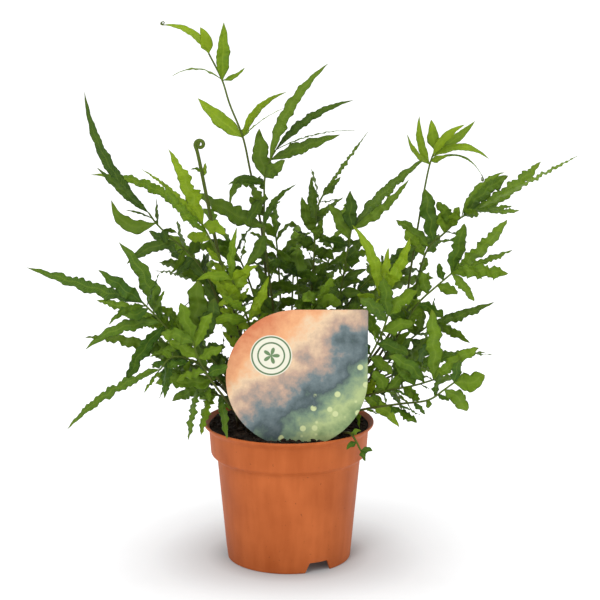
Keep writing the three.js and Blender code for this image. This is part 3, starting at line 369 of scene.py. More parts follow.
def soil_top(x, y):
    share = min(1, math.hypot(x, y) / SOIL_EDGE[0])
    level = SOIL_CROWN + (SOIL_EDGE[1] - SOIL_CROWN) * share**2
    clods = math.sin(0.31 * x + 1.3) * math.cos(0.27 * y) + 0.5 * math.sin(0.7 * x + 0.9 * y)
    return level + SOIL_BUMP * clods * (1 - share**4)


def rolled_up(route, coil):
    """The route of a young frond with its rolled-up end."""
    x, h, y = route[-1]
    count = round(COIL["steps"] * coil["turns"])
    places = list(route)
    for i in range(count):
        share = (i + 1) / count
        size = coil["radius"] * (1 - COIL["shrink"] * share)
        angle = coil["hand"] * 2 * math.pi * coil["turns"] * share
        across = coil["hand"] * (coil["radius"] - size * math.cos(angle))
        places.append((x + across, h + coil["hand"] * size * math.sin(angle), y))
    return places


def measured_frond(row, seed):
    name, tone, root, route, leaflets = row[:5]
    draw = draws(seed)
    places = rolled_up(route, row[5]) if len(row) > 5 else route
    x, y = root
    stem = [Vector((x, y, soil_top(x, y) + STUB))] + [from_front(*place) for place in places]
    leaves = []
    for at, across, up, width, bow, roll in leaflets:
        foot = curve_point(stem, at + 1)
        span = math.hypot(across, up)
        drift = (next(draw) - 0.5) * DRIFT * span
        tip = foot + Vector((across, drift, up / math.cos(VIEW_TILT) - drift * math.tan(VIEW_TILT)))
        lift = (up, -across) if across < 0 else (-up, across)
        turn = (-1 if next(draw) < 0.5 else 1) * (roll + MORE_ROLL * next(draw))
        leaves.append({
            "foot": foot,
            "tip": tip,
            "width": width,
            "bow": Vector((lift[0], 0, lift[1])) * (bow / span),
            "bend": (tip - EYE).normalized(),
            "face": Vector((0, -1, 0)),
            "end": "blunt" if name in BLUNT_FRONDS else "pointed",
            "curled": (name, len(leaves)) in CURLS,
            "roll": math.radians(turn),
            "twist": LOOSE * (next(draw) - 0.5),
        })
    return {"name": name, "tone": tone, "root": root, "stem": stem, "leaves": leaves, "coil": len(row) > 5}


def rule_frond(row, seed):
    name, tone, root, azimuth, reach, height = row
    draw = draws(seed)
    angle = math.radians(azimuth)
    outward = Vector((math.sin(angle), -math.cos(angle), 0))
    sideways = Vector((-outward.y, outward.x, 0))
    up = Vector((0, 0, 1))
    start = Vector((root[0], root[1], SOIL_CROWN))
    stem = [Vector((root[0], root[1], soil_top(*root) + STUB))]
    for share in RULE["route"]:
        rise = (height - SOIL_CROWN) * math.sin(share * RULE["arch"]) / math.sin(RULE["arch"])
        lean = reach * RULE["lean"] * share ** RULE["spread"]
        stem.append(start + outward * lean + up * rise)
    along = (stem[5] - stem[3]).normalized()
    leaves = []

    def grow(at, ahead, aside, lift, width):
        foot = curve_point(stem, at + 1)
        leaves.append({
            "foot": foot,
            "tip": foot + along * ahead + sideways * aside + up * lift,
            "width": width,
            "end": "blunt",
            "bow": up * drawn(draw, 2, 3),
            "bend": up,
            "face": outward + RULE_FACE,
            "roll": LOOSE * (next(draw) - 0.5),
            "twist": LOOSE * (next(draw) - 0.5),
        })

    size = reach * RULE["size"]
    grow(4, size * drawn(draw, 0.9, 0.2), 8 * (next(draw) - 0.5), -8, 8)
    for at, length in PAIRS:
        for side in (-1, 1):
            span = size * length * drawn(draw, 0.85, 0.35)
            drop = -span * PAIR_HEADING["drop"] * next(draw)
            ahead = span * PAIR_HEADING["ahead"]
            aside = side * span * PAIR_HEADING["aside"]
            grow(at + PAIR_HEADING["apart"] * side, ahead, aside, drop, drawn(draw, 7.5, 2))
            if at < 3:
                grow(at - 0.3, span * 0.15, side * span * 0.6, -span * 0.3 * next(draw), 7)
    return {"name": name, "tone": tone, "root": root, "stem": stem, "leaves": leaves, "coil": False}


def settled(frond):
    """The frond with each leaf bent as it is in the frame, where some leaves are left out."""
    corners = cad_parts["frond_" + frond["name"]].data.vertices
    tree = kdtree.KDTree(len(corners))
    for corner in corners:
        tree.insert(corner.co / MM, corner.index)
    tree.balance()
    leaves = []
    for leaf in frond["leaves"]:
        tries = [
            (share, (1 if turn % 2 == 0 else -1) * math.ceil(turn / 2) * BEND_STEP)
            for share in SHORTENED
            for turn in range(2 * MOST_BENDS + 1)
        ]
        for share, bend in tries:
            tip = leaf["foot"].lerp(leaf["tip"], share) + leaf["bend"] * (bend * share)
            if tree.find(tip)[2] < SAME_PLACE:
                middle = leaf["foot"].lerp(tip, 0.5) + leaf["bow"] * (2 * share)
                leaves.append({**leaf, "tip": tip, "middle": middle})
                break
    return {**frond, "leaves": leaves}


# Meshes

BLADE = 0
STALK = 1


class Skin:
    """Corners and faces of one piece, each corner with a tint: along, across, chance, blade or stalk."""

    def __init__(self):
        self.corners = []
        self.faces = []
        self.tints = []

    def ring(self, points, tints):
        first = len(self.corners)
        self.corners.extend(points)
        self.tints.extend(tints)
        return list(range(first, len(self.corners)))

    def bridge(self, one, two):
        count = len(one)
        for k in range(count):
            after = (k + 1) % count
            self.faces.append((one[k], one[after], two[after], two[k]))

    def fan(self, ring, tip):
        count = len(ring)
        for k in range(count):
            self.faces.append((ring[k], ring[(k + 1) % count], tip))

    def piece(self, name, material):
        mesh = bpy.data.meshes.new(name)
        mesh.from_pydata([tuple(point * MM) for point in self.corners], [], self.faces)
        tint = mesh.attributes.new("tint", "FLOAT_COLOR", "POINT")
        tint.data.foreach_set("color", [value for color in self.tints for value in color])
        mesh.shade_smooth()
        return linked(name, mesh, material)


def linked(name, mesh, material):
    mesh.materials.append(material)
    piece = bpy.data.objects.new(name, mesh)
    bpy.context.collection.objects.link(piece)
    return piece


def outline(leaf, u):
    """Half a leaflet's width along its length, from a narrow foot to a pointed or a round tip."""
    fall = 1 - max(0, (u - WIDEST) / (1 - WIDEST)) ** TAPER[leaf["end"]]
    return smoothstep(-0.08, 0.32, u) * fall


def leaf_at(leaf, u):
    v = 1 - u
    point = leaf["foot"] * (v * v) + leaf["middle"] * (2 * u * v) + leaf["tip"] * (u * u)
    along = ((leaf["middle"] - leaf["foot"]) * v + (leaf["tip"] - leaf["middle"]) * u).normalized()
    side = along.cross(leaf["face"]).normalized()
    out = side.cross(along)
    roll = leaf["roll"] + leaf["twist"] * u
    across = side * math.cos(roll) + out * math.sin(roll)
    return point, across, across.cross(along)


def lobe_pitch(leaf):
    return 0.36 * leaf["width"] + 2


def edge_waves(leaf, waviness, draw):
    """For one edge: how far it is notched in, and how far it is frilled up, at a run along the leaflet."""
    pitch = lobe_pitch(leaf) * drawn(draw, 0.85, 0.3)
    phase = math.pi * next(draw)
    shift = 100 * next(draw)

    def uneven(name, run, y, z):
        strength, rate = UNEVEN[name]
        return strength * noise.noise(Vector((run * rate, y, z)))

    def at(run):
        angle = math.pi * run / pitch + phase + uneven("pitch", run, shift, 9)
        depth = LEAF["notch"] * waviness * (0.75 + uneven("depth", run, shift, 0))
        swing = 1 + uneven("swing", run, 0, shift)
        notched = 1 + 0.35 * depth - depth * (1 - abs(math.sin(angle)) ** 0.7)
        return notched, LEAF["frill"] * leaf["width"] * waviness * swing * math.cos(2 * angle + 0.9)

    return at


def leaf_rings(leaf, waviness, draw):
    """The rows of a leaflet from foot to near the tip, each a loop of corners with their places across."""
    length = (leaf["tip"] - leaf["foot"]).length
    coarse = min(COARSE_MOST, max(3, round(length / COARSE_STEP)))
    rows = max(LEAF["fewest"], round(length / LEAF["row"]))
    edges = [edge_waves(leaf, waviness, draw) for _ in range(2)]
    bend = 2 * math.pi / (WANDER["run"] * lobe_pitch(leaf))
    phase = 2 * math.pi * next(draw)
    fold = LEAF["fold"] * (2 * next(draw) - 0.6)
    for i in range(rows):
        u = i / rows
        point, across, normal = leaf_at(leaf, u)
        half = leaf["width"] / 2 * outline(leaf, u)
        sway = -math.cos(math.pi * u * coarse)
        fade = smoothstep(0.02, 0.25, u) * outline(leaf, u)
        drift = fade * waviness * leaf["width"]
        point = point + across * (WANDER["aside"] * drift * math.sin(bend * u * length + phase))
        point = point + normal * (WANDER["out"] * drift * math.sin(1.3 * bend * u * length))
        upper = []
        lower = []
        for k in range(-LEAF["half"], LEAF["half"] + 1):
            v = k / LEAF["half"]
            notched, frill = edges[k > 0](u * length)
            out = half * v * (1 + KEPT_WAVE * COARSE_WAVE * sway) * (1 + fade * (notched - 1) * abs(v))
            lift = fade * frill * abs(v) ** 1.8 - v * COARSE_RUFFLE * half * sway + fold * half * abs(v)
            base = point + across * out + normal * lift
            thick = LEAF["thick"] * math.sqrt(1 - v * v) * (1 - LEAF["thin"] * u)
            rib = LEAF["rib"] * (1 - 0.6 * u) if k == 0 else 0
            upper.append((base + normal * (thick - 0.6 * rib), v))
            if abs(v) < 1:
                lower.append((base - normal * (thick + rib), v))
        yield u, upper + lower[::-1]


def add_leaf(skin, leaf, waviness, chance, draw):
    rings = []
    for u, loop in leaf_rings(leaf, waviness, draw):
        tints = [(u, 0.5 + 0.5 * v, chance, BLADE) for _, v in loop]
        rings.append(skin.ring([corner for corner, _ in loop], tints))
    tip = skin.ring([leaf["tip"]], [(1, 0.5, chance, BLADE)])[0]
    skin.faces.append(tuple(reversed(rings[0])))
    for one, two in zip(rings, rings[1:]):
        skin.bridge(one, two)
    skin.fan(rings[-1], tip)


# The small leaflets

class Room:
    """Points of leaflets in a grid of cells, to find out whether another one has room."""

    def __init__(self):
        self.cells = {}

    def cell(self, point):
        return tuple(math.floor(value / ROOM) for value in point)

    def add(self, points):
        for point in points:
            self.cells.setdefault(self.cell(point), []).append(point)

    def is_free(self, point):
        x, y, z = self.cell(point)
        for place in product((x - 1, x, x + 1), (y - 1, y, y + 1), (z - 1, z, z + 1)):
            if any((other - point).length < ROOM for other in self.cells.get(place, ())):
                return False
        return True


def blade_points(leaf):
    length = (leaf["tip"] - leaf["foot"]).length
    rows = math.ceil(length / ROOM)
    points = []
    for i in range(1, rows + 1):
        u = i / rows
        point, across, _ = leaf_at(leaf, u)
        half = leaf["width"] / 2 * outline(leaf, u)
        points.extend(point + across * (half * v) for v in (-1, -0.5, 0, 0.5, 1))
    return points


def is_clear(leaf, room):
    """Whether a small leaflet is clear of others past its foot, and of the pot, the soil and the label."""
    for point in blade_points(leaf):
        if (point - leaf["foot"]).length < FREE_FOOT:
            continue
        from_middle = math.hypot(point.x - LABEL["x"], point.z - LABEL["z"])
        by_card = from_middle < LABEL["radius"] + CLEAR_OF["card_edge"]
        if not room.is_free(point) or (by_card and abs(point.y - LABEL["y"]) < CLEAR_OF["card_face"]):
            return False
        low = point.z < RIM_HEIGHT + CLEAR_OF["pot"]
        if low and math.hypot(point.x, point.y) < LIP[0] + CLEAR_OF["pot"]:
            return False
    return True


def small_leaf(foot, heading, length, width, face, end, draw):
    tip = foot + heading * length
    bow = face.normalized() * (length * 0.12 * (next(draw) - 0.3))
    return {
        "foot": foot,
        "tip": tip,
        "middle": foot.lerp(tip, 0.5) + bow,
        "width": width,
        "end": end,
        "face": face,
        "roll": LOOSE * (next(draw) - 0.5),
        "twist": LOOSE * (next(draw) - 0.5),
    }


def forks(leaf, draw):
    """Lobes that fork off a large leaflet, on either side near its foot."""
    length = (leaf["tip"] - leaf["foot"]).length
    if length < FORK["from"]:
        return
    for side in (-1, 1):
        at = drawn(draw, *FORK["at"])
        size = length * drawn(draw, *FORK["size"])
        angle = side * FORK["angle"] * drawn(draw, *FORK["turn"])
        foot, across, normal = leaf_at(leaf, at)
        along = (leaf_at(leaf, at + 0.05)[0] - foot).normalized()
        heading = along * math.cos(angle) + across * math.sin(angle)
        lobe = small_leaf(foot, heading, size, leaf["width"] * FORK["width"], normal, leaf["end"], draw)
        if next(draw) < FORK["chance"]:
            yield lobe


def sprouts(frond, draw):
    """Small leaflets on both sides of a stem's upper part."""
    path = stem_path(frond)
    runs = [0]
    for one, two in zip(path, path[1:]):
        runs.append(runs[-1] + (two - one).length)
    centre = Vector((0, 0, SOIL_CROWN))
    due = runs[-1] * SPROUT["start"]
    for one, two, run in zip(path, path[1:], runs):
        if run < due:
            continue
        due = run + SPROUT["step"] * drawn(draw, *SPROUT["spacing"])
        along = (two - one).normalized()
        outward = (one - centre) * Vector((1, 1, 0))
        face = outward.normalized() + RULE_FACE + Vector((0, 0, 0.4))
        sideways = along.cross(face).normalized()
        for side in (-1, 1):
            angle = side * drawn(draw, *SPROUT["angle"])
            lift = 0.6 * (next(draw) - 0.4)
            heading = (along * math.cos(angle) + sideways * math.sin(angle) + face * lift).normalized()
            length = drawn(draw, *SPROUT["length"])
            end = "blunt" if next(draw) < SPROUT["blunt"] else "pointed"
            width = SPROUT["width"] + SPROUT["widen"] * length
            yield small_leaf(one, heading, length, width, face, end, draw)


def add_small_leaves(fronds):
    """Gives each frond the small leaflets that have room among all the others."""
    room = Room()
    for frond in fronds:
        for leaf in frond["leaves"]:
            room.add(blade_points(leaf))
    for number, frond in enumerate(fronds):
        if frond["name"] in PLAIN_FRONDS:
            continue
        draw = draws(500 + number)
        lobes = [lobe for leaf in frond["leaves"] for lobe in forks(leaf, draw)]
        for leaf in [*lobes, *sprouts(frond, draw)]:
            if is_clear(leaf, room):
                frond["leaves"].append(leaf)
                room.add(blade_points(leaf))


def add_tube(skin, path, radii, chance, shares):
    """A round closed tube along a path."""
    rings = []
    sides = STEM["sides"]
    for i, point in enumerate(path):
        along = (path[min(i + 1, len(path) - 1)] - path[max(i - 1, 0)]).normalized()
        side = Vector((0, 1, 0)).cross(along).normalized()
        out = along.cross(side)
        ring = []
        for k in range(sides):
            angle = 2 * math.pi * k / sides
            ring.append(point + side * (radii[i] * math.cos(angle)) + out * (radii[i] * math.sin(angle)))
        rings.append(skin.ring(ring, [(shares[i], k / sides, chance, STALK) for k in range(sides)]))
    skin.faces.append(tuple(reversed(rings[0])))
    for one, two in zip(rings, rings[1:]):
        skin.bridge(one, two)
    skin.faces.append(tuple(rings[-1]))


def stem_path(frond):
    """Points along a stem, closer together on one that is rolled up."""
    points = frond["stem"]
    step = STEM["step"] * (STEM["coil_step"] if frond["coil"] else 1)
    path = [points[0]]
    for i in range(STEM["samples"] * (len(points) - 1)):
        point = curve_point(points, (i + 1) / STEM["samples"])
        if (point - path[-1]).length > step:
            path.append(point)
    return path + [points[-1]]


def add_stem(skin, frond, draw):
    x, y = frond["root"]
    path = [Vector((x, y, soil_top(x, y) - ROOT_DEPTH))] + stem_path(frond)
    shares = [max(0, i - 1) / (len(path) - 2) for i in range(len(path))]
    tip = STEM["coil"] if frond["coil"] else STEM["tip"]
    radii = [STEM["radius"] + (tip - STEM["radius"]) * share for share in shares]
    add_tube(skin, path, radii, next(draw), shares)


def add_curl(skin, leaf, chance):
    """A small curl that a leaflet's tip runs out into."""
    _, across, _ = leaf_at(leaf, 1)
    ahead = (leaf["tip"] - leaf["middle"]).normalized()
    count = round(CURL["steps"] * CURL["turns"])
    path = [leaf["tip"] - ahead * CURL["overlap"]]
    for i in range(count + 1):
        share = i / count
        size = CURL["radius"] * (1 - CURL["shrink"] * share)
        angle = 2 * math.pi * CURL["turns"] * share
        aside = across * (CURL["radius"] - size * math.cos(angle))
        path.append(leaf["tip"] + ahead * (size * math.sin(angle)) + aside)
    add_tube(skin, path, [CURL["thick"]] * len(path), chance, [CURL["tint"]] * len(path))


def add_frond(frond, number, materials):
    draw = draws(1000 + number)
    skin = Skin()
    add_stem(skin, frond, draw)
    for leaf in frond["leaves"]:
        chance = min(1, max(0, LIGHTNESS.get(frond["name"], 0.5) + 0.9 * (next(draw) - 0.5)))
        add_leaf(skin, leaf, WAVINESS.get(frond["name"], 1), chance, draw)
        if leaf.get("curled"):
            add_curl(skin, leaf, chance)
    piece = skin.piece(frond["name"], materials[frond["tone"]])
    place(piece, SLOTS[frond["tone"]], "frond_" + frond["name"])


def place(piece, slot, *nodes):
    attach(piece, "root")
    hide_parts(*nodes)


def piece_of(name, bm, material):
    mesh = bpy.data.meshes.new(name)
    bm.to_mesh(mesh)
    bm.free()
    mesh.transform(Matrix.Scale(MM, 4))
    return linked(name, mesh, material)


# Pot

def rounded(profile, reach, steps=4):
    """A profile whose corners are rounded, each as far as reach lets it."""
    points = [Vector(place) for place in profile]
    smooth = [points[0]]
    for before, corner, after in zip(points, points[1:], points[2:]):
        back = min(reach, 0.45 * (before - corner).length)
        ahead = min(reach, 0.45 * (after - corner).length)
        start = corner + (before - corner).normalized() * back
        end = corner + (after - corner).normalized() * ahead
        for i in range(steps + 1):
            t = i / steps
            smooth.append(start * (1 - t) ** 2 + corner * (2 * t * (1 - t)) + end * t**2)
    smooth.append(points[-1])
    return smooth


def lathe(profile, sides):
    """A closed solid of revolution, from a profile that starts and ends on the axis."""
    bm = bmesh.new()
    rings = []
    for radius, height in profile:
        if radius < 1e-6:
            rings.append([bm.verts.new((0, 0, height))])
            continue
        ring = []
        for k in range(sides):
            angle = 2 * math.pi * k / sides
            ring.append(bm.verts.new((radius * math.cos(angle), radius * math.sin(angle), height)))
        rings.append(ring)
    for one, two in zip(rings, rings[1:]):
        for k in range(sides):
            after = (k + 1) % sides
            corners = [one[k % len(one)], one[after % len(one)], two[after % len(two)], two[k % len(two)]]
            kept = [corner for i, corner in enumerate(corners) if corner not in corners[:i]]
            if len(kept) > 2:
                bm.faces.new(kept)
    bmesh.ops.recalc_face_normals(bm, faces=bm.faces)
    return bm


def cut(piece, tool):
    modifier = piece.modifiers.new("cut", "BOOLEAN")
    modifier.operation = "DIFFERENCE"
    modifier.solver = "EXACT"
    modifier.object = tool
    depsgraph = bpy.context.evaluated_depsgraph_get()
    mesh = bpy.data.meshes.new_from_object(piece.evaluated_get(depsgraph))
    piece.modifiers.clear()
    piece.data = mesh
    bpy.data.objects.remove(tool)


def notch_tool(turn):
    bm = bmesh.new()
    profile = [(-NOTCH["foot"] / 2, -1), (NOTCH["foot"] / 2, -1), (NOTCH["roof"] / 2, NOTCH["height"]),
               (-NOTCH["roof"] / 2, NOTCH["height"])]
    near = [bm.verts.new((x, -BASE_RADIUS - 3, z)) for x, z in profile]
    far = [bm.verts.new((x, -BASE_RADIUS + 10, z)) for x, z in profile]
    bm.faces.new(near)
    bm.faces.new(far[::-1])
    for k in range(4):
        after = (k + 1) % 4
        bm.faces.new((near[after], near[k], far[k], far[after]))
    bmesh.ops.recalc_face_normals(bm, faces=bm.faces)
    bm.transform(Matrix.Rotation(turn, 4, "Z"))
    return piece_of("notch_tool", bm, None)


def drain_tool(turn):
    bm = bmesh.new()
    radius = DRAIN["radius"]
    bmesh.ops.create_cone(bm, cap_ends=True, segments=24, radius1=radius, radius2=radius, depth=20)
    place_at = Vector((math.sin(turn) * DRAIN["place"], -math.cos(turn) * DRAIN["place"], 10))
    bm.transform(Matrix.Translation(place_at))
    return piece_of("drain_tool", bm, None)


def inside_profile():
    return [
        (BASE_RADIUS + 0.6 - WALL, FLOOR_UNDERSIDE + WALL),
        (SHOULDER[0] - WALL, SHOULDER[1]),
        (COLLAR_FOOT[0] - WALL, COLLAR_FOOT[1] + 0.6),
        (COLLAR_TOP[0] - WALL, COLLAR_TOP[1] + 1),
        (LIP[0] - LIP_EDGE, RIM_HEIGHT),
    ]


def add_pot(material):
    shell = [
        (0, 0),
        (BASE_RADIUS, 0),
        SHOULDER,
        COLLAR_FOOT,
        COLLAR_TOP,
        LIP,
        (LIP[0], RIM_HEIGHT),
        *reversed(inside_profile()),
        (0, FLOOR_UNDERSIDE + WALL),
    ]
    pot = piece_of("pot_body", lathe(rounded(shell, 1.2), POT_SIDES), material)
    inner, outer = PAD_RADIUS, BASE_RADIUS - WALL
    recess = [(inner, -1), (outer, -1), (outer, FLOOR_UNDERSIDE), (inner, FLOOR_UNDERSIDE), (inner, -1)]
    tool = lathe(recess, POT_SIDES)
    bmesh.ops.remove_doubles(tool, verts=tool.verts, dist=1e-4)
    bmesh.ops.recalc_face_normals(tool, faces=tool.faces)
    cut(pot, piece_of("recess_tool", tool, None))
    for i in range(NOTCH_COUNT):
        turn = NOTCH_AZIMUTH + 2 * math.pi * i / NOTCH_COUNT
        cut(pot, notch_tool(turn))
        for share in (1 / 3, 2 / 3):
            cut(pot, drain_tool(turn + 2 * math.pi * share / NOTCH_COUNT))
    pot.data.shade_smooth()
    pot.data.set_sharp_from_angle(angle=math.radians(35))
    place(pot, "pot", "pot")


# Soil

def add_soil(material):
    edge = SOIL_EDGE[0]
    side = [(radius - GAP, height) for radius, height in inside_profile()[:4]]
    side[0] = (side[0][0], side[0][1] + GAP)
    side[2] = (side[2][0], side[2][1] + GAP)
    rows = SOIL_MESH["rows"]
    top = [(edge * (1 - i / rows), SOIL_CROWN) for i in range(rows + 1)]
    bm = lathe([(0, FLOOR_UNDERSIDE + WALL + GAP), *side, *top], SOIL_MESH["sides"])
    for vert in bm.verts:
        if vert.co.z > SOIL_EDGE[1]:
            x, y = vert.co.x, vert.co.y
            rough = noise.fractal(Vector((x, y, 3)) * SOIL_MESH["grain"], 1, 2, 5)
            inner = smoothstep(edge, edge - SOIL_MESH["edge"], math.hypot(x, y))
            vert.co.z = soil_top(x, y) - SOIL_MESH["sunk"] * inner + inner * SOIL_MESH["rough"] * rough
    draw = draws(77)
    for _ in range(CRUMBS["count"]):
        add_crumb(bm, draw, edge - CRUMBS["edge"])
    soil = piece_of("soil_ball", bm, material)
    soil.data.shade_smooth()
    place(soil, "soil", "soil")


def add_crumb(bm, draw, reach):
    """A lump or, now and then, a sliver of bark or fibre."""
    radius = reach * math.sqrt(next(draw))
    angle = 2 * math.pi * next(draw)
    x, y = radius * math.cos(angle), radius * math.sin(angle)
    size = 0.5 + 1.5 * next(draw) ** 2.5
    stretch = Vector((drawn(draw, 1, 1), drawn(draw, 0.7, 0.4), drawn(draw, 0.6, 0.3)))
    if next(draw) < CRUMBS["slivers"]:
        size = 0.6
        stretch = Vector((drawn(draw, 3, 4), 0.6, 0.5))
    tilt = Matrix.Rotation(0.7 * (next(draw) - 0.5), 3, "Y")
    turn = Matrix.Rotation(2 * math.pi * next(draw), 3, "Z") @ tilt
    shift = Vector((50 * next(draw), 0, 0))
    at = Vector((x, y, soil_top(x, y) + 0.15 * size))
    for vert in bmesh.ops.create_icosphere(bm, subdivisions=2, radius=size)["verts"]:
        lump = 1 + CRUMBS["lumpy"] * noise.noise(vert.co * (1.4 / size) + shift)
        vert.co = turn @ (vert.co * lump * stretch) + at


# Label

# The card's tint: its third part tells the printed front from the plain back
FRONT = (0, 0, 1, 1)
BACK = (0, 0, 0, 1)


def drop_outline():
    """The card's outline with a stake, as x and z from the middle of its disc."""
    radius = LABEL["radius"]
    half = STAKE["width"] / 2
    shoulder = math.asin(half / radius)
    tip = STAKE["tip"] - LABEL["z"]
    places = [(-half, tip + STAKE["point"]), (0, tip), (half, tip + STAKE["point"])]

    def arc(start, end, steps):
        for i in range(steps + 1):
            angle = start + (end - start) * i / steps
            places.append((radius * math.cos(angle), radius * math.sin(angle)))

    first, bend, last = CARD_STEPS
    arc(shoulder - math.pi / 2, 0, first)
    corner = LABEL["corner"]
    for i in range(bend + 1):
        angle = math.pi / 2 * i / bend
        places.append((radius - corner * (1 - math.cos(angle)), radius - corner * (1 - math.sin(angle))))
    arc(math.pi / 2, 1.5 * math.pi - shoulder, last)
    return places


def add_label(material):
    places = drop_outline()
    bm = bmesh.new()
    art = bm.verts.layers.float_color.new("tint")
    half = LABEL["thick"] / 2
    bevel = LABEL["bevel"]
    rings = []
    for depth, inset in ((-half, bevel), (-half + bevel, 0), (half - bevel, 0), (half, bevel)):
        ring = []
        for x, z in places:
            shrink = 1 - inset / LABEL["radius"]
            vert = bm.verts.new((LABEL["x"] + x * shrink, LABEL["y"] + depth, LABEL["z"] + z * shrink))
            vert[art] = FRONT if depth < 0 else BACK
            ring.append(vert)
        rings.append(ring)
    for one, two in zip(rings, rings[1:]):
        for k in range(len(places)):
            after = (k + 1) % len(places)
            bm.faces.new((one[k], two[k], two[after], one[after]))
    bm.faces.new(rings[0])
    bm.faces.new(rings[-1][::-1])
    bmesh.ops.recalc_face_normals(bm, faces=bm.faces)
    label = piece_of("label_card", bm, material)
    place(label, "label", "label")


# Materials

SLOTS = {"old": "frond_old", "leaf": "frond", "young": "frond_young"}

# Noises: scale, detail and roughness
BLOTCH = (110, 3, 0.5)
FINE = (480, 4, 0.6)
CLOUD = (28, 4, 0.5)
STREAK = (130, 3, 0.5)
SPECK = (520, 2, 0.5)
POT_GRAIN = (900, 3, 0.5)
CLODS = (210, 6, 0.65)
WASH = (34, 6, 0.62)
RAGGED = (190, 4, 0.6)
CARD_GRAIN = (1500, 2, 0.5)

BLACK = (0, 0, 0, 1)
WHITE = (1, 1, 1, 1)


def srgb(red, green, blue):
    """A colour as it is seen, from 0 to 255, in the linear scale that shaders use."""
    def linear(value):
        value /= 255
        return value / 12.92 if value <= 0.04045 else ((value + 0.055) / 1.055) ** 2.4
    return (linear(red), linear(green), linear(blue), 1)


# The fronds' colours: dark parts, light parts, and the band, rib and veins
FROND_COLORS = {
    "old": (srgb(40, 74, 3), srgb(98, 128, 12), srgb(116, 140, 40)),
    "leaf": (srgb(48, 88, 3), srgb(112, 144, 12), srgb(132, 158, 46)),
    "young": (srgb(84, 122, 2), srgb(144, 172, 10), srgb(154, 178, 46)),
}
STALK_COLORS = [(0, srgb(58, 40, 14)), (0.3, srgb(78, 78, 20)), (0.9, srgb(98, 122, 28))]
STALK_FLECK = srgb(46, 42, 10)
WORN_TIP = srgb(118, 104, 30)
LIGHT_THROUGH = 0.2

SOIL_COLORS = [(0.35, srgb(22, 16, 12)), (0.6, srgb(52, 38, 28)), (0.78, srgb(104, 82, 60))]
POT_COLORS = [(0.35, srgb(164, 80, 33)), (0.65, srgb(190, 101, 51))]
POT_DIRT = srgb(88, 48, 26)

# The card's paint from the green corner to the orange one
PAINT = [
    (0, srgb(108, 134, 88)),
    (0.14, srgb(170, 186, 128)),
    (0.27, srgb(110, 136, 112)),
    (0.36, srgb(62, 80, 84)),
    (0.46, srgb(104, 120, 124)),
    (0.56, srgb(186, 156, 136)),
    (0.66, srgb(226, 196, 160)),
    (0.78, srgb(228, 166, 118)),
    (1, srgb(196, 104, 62)),
]
DOT = srgb(196, 206, 150)
BADGE_FACE = srgb(226, 224, 206)
BADGE_RING = srgb(78, 112, 70)
BADGE_FLOWER = srgb(96, 128, 84)
CARD_BACK = srgb(206, 204, 196)
CARD_SHADE = srgb(120, 112, 100)


class Nodes:
    """Short names for building one material's nodes."""

    def __init__(self, name):
        self.material = bpy.data.materials.new(name)
        self.material.use_nodes = True
        self.tree = self.material.node_tree
        self.shader = self.tree.nodes["Principled BSDF"]

    def add(self, kind, **settings):
        node = self.tree.nodes.new("ShaderNode" + kind)
        for name, value in settings.items():
            setattr(node, name, value)
        return node

    def link(self, out, socket):
        self.tree.links.new(out, socket)

    def feed(self, socket, value):
        """Links an output to a socket, or sets a number or colour on it."""
        if hasattr(value, "is_linked"):
            self.link(value, socket)
        else:
            socket.default_value = value

    def surface(self, values):
        for name, value in values.items():
            self.feed(self.shader.inputs[name], value)

    def math(self, operation, one, two=0, clamp=False):
        node = self.add("Math", operation=operation, use_clamp=clamp)
        self.feed(node.inputs[0], one)
        self.feed(node.inputs[1], two)
        return node.outputs[0]

    def plus(self, one, two):
        return self.math("ADD", one, two)

    def minus(self, one, two, clamp=False):
        return self.math("SUBTRACT", one, two, clamp)

    def times(self, one, two, clamp=False):
        return self.math("MULTIPLY", one, two, clamp)

    def ramp(self, value, stops):
        node = self.add("ValToRGB")
        while len(node.color_ramp.elements) < len(stops):
            node.color_ramp.elements.new(0.5)
        for element, (position, color) in zip(node.color_ramp.elements, stops):
            element.position = position
            element.color = color
        self.feed(node.inputs[0], value)
        return node.outputs[0]

    def mix(self, share, one, two):
        node = self.add("Mix", data_type="RGBA")
        self.feed(node.inputs["Factor"], share)
        self.feed(node.inputs[6], one)
        self.feed(node.inputs[7], two)
        return node.outputs[2]

    def below(self, value, limit, soft):
        """1 where the value is below the limit, fading to 0 over a soft edge."""
        return self.times(self.minus(limit, value), 1 / soft, clamp=True)

    def where(self):
        return self.add("TexCoord").outputs["Object"]

    def noise(self, settings, where=None):
        node = self.add("TexNoise")
        for name, value in zip(("Scale", "Detail", "Roughness"), settings):
            node.inputs[name].default_value = value
        self.link(self.where() if where is None else where, node.inputs["Vector"])
        return node.outputs["Fac"]

    def tint(self):
        """The tint's first three parts: along, across and chance on a frond."""
        parts = self.add("SeparateColor")
        self.link(self.add("Attribute", attribute_name="tint").outputs["Color"], parts.inputs[0])
        return parts.outputs[0], parts.outputs[1], parts.outputs[2]

    def bump(self, height, strength, distance):
        node = self.add("Bump")
        node.inputs["Strength"].default_value = strength
        node.inputs["Distance"].default_value = distance
        self.link(height, node.inputs["Height"])
        self.link(node.outputs["Normal"], self.shader.inputs["Normal"])


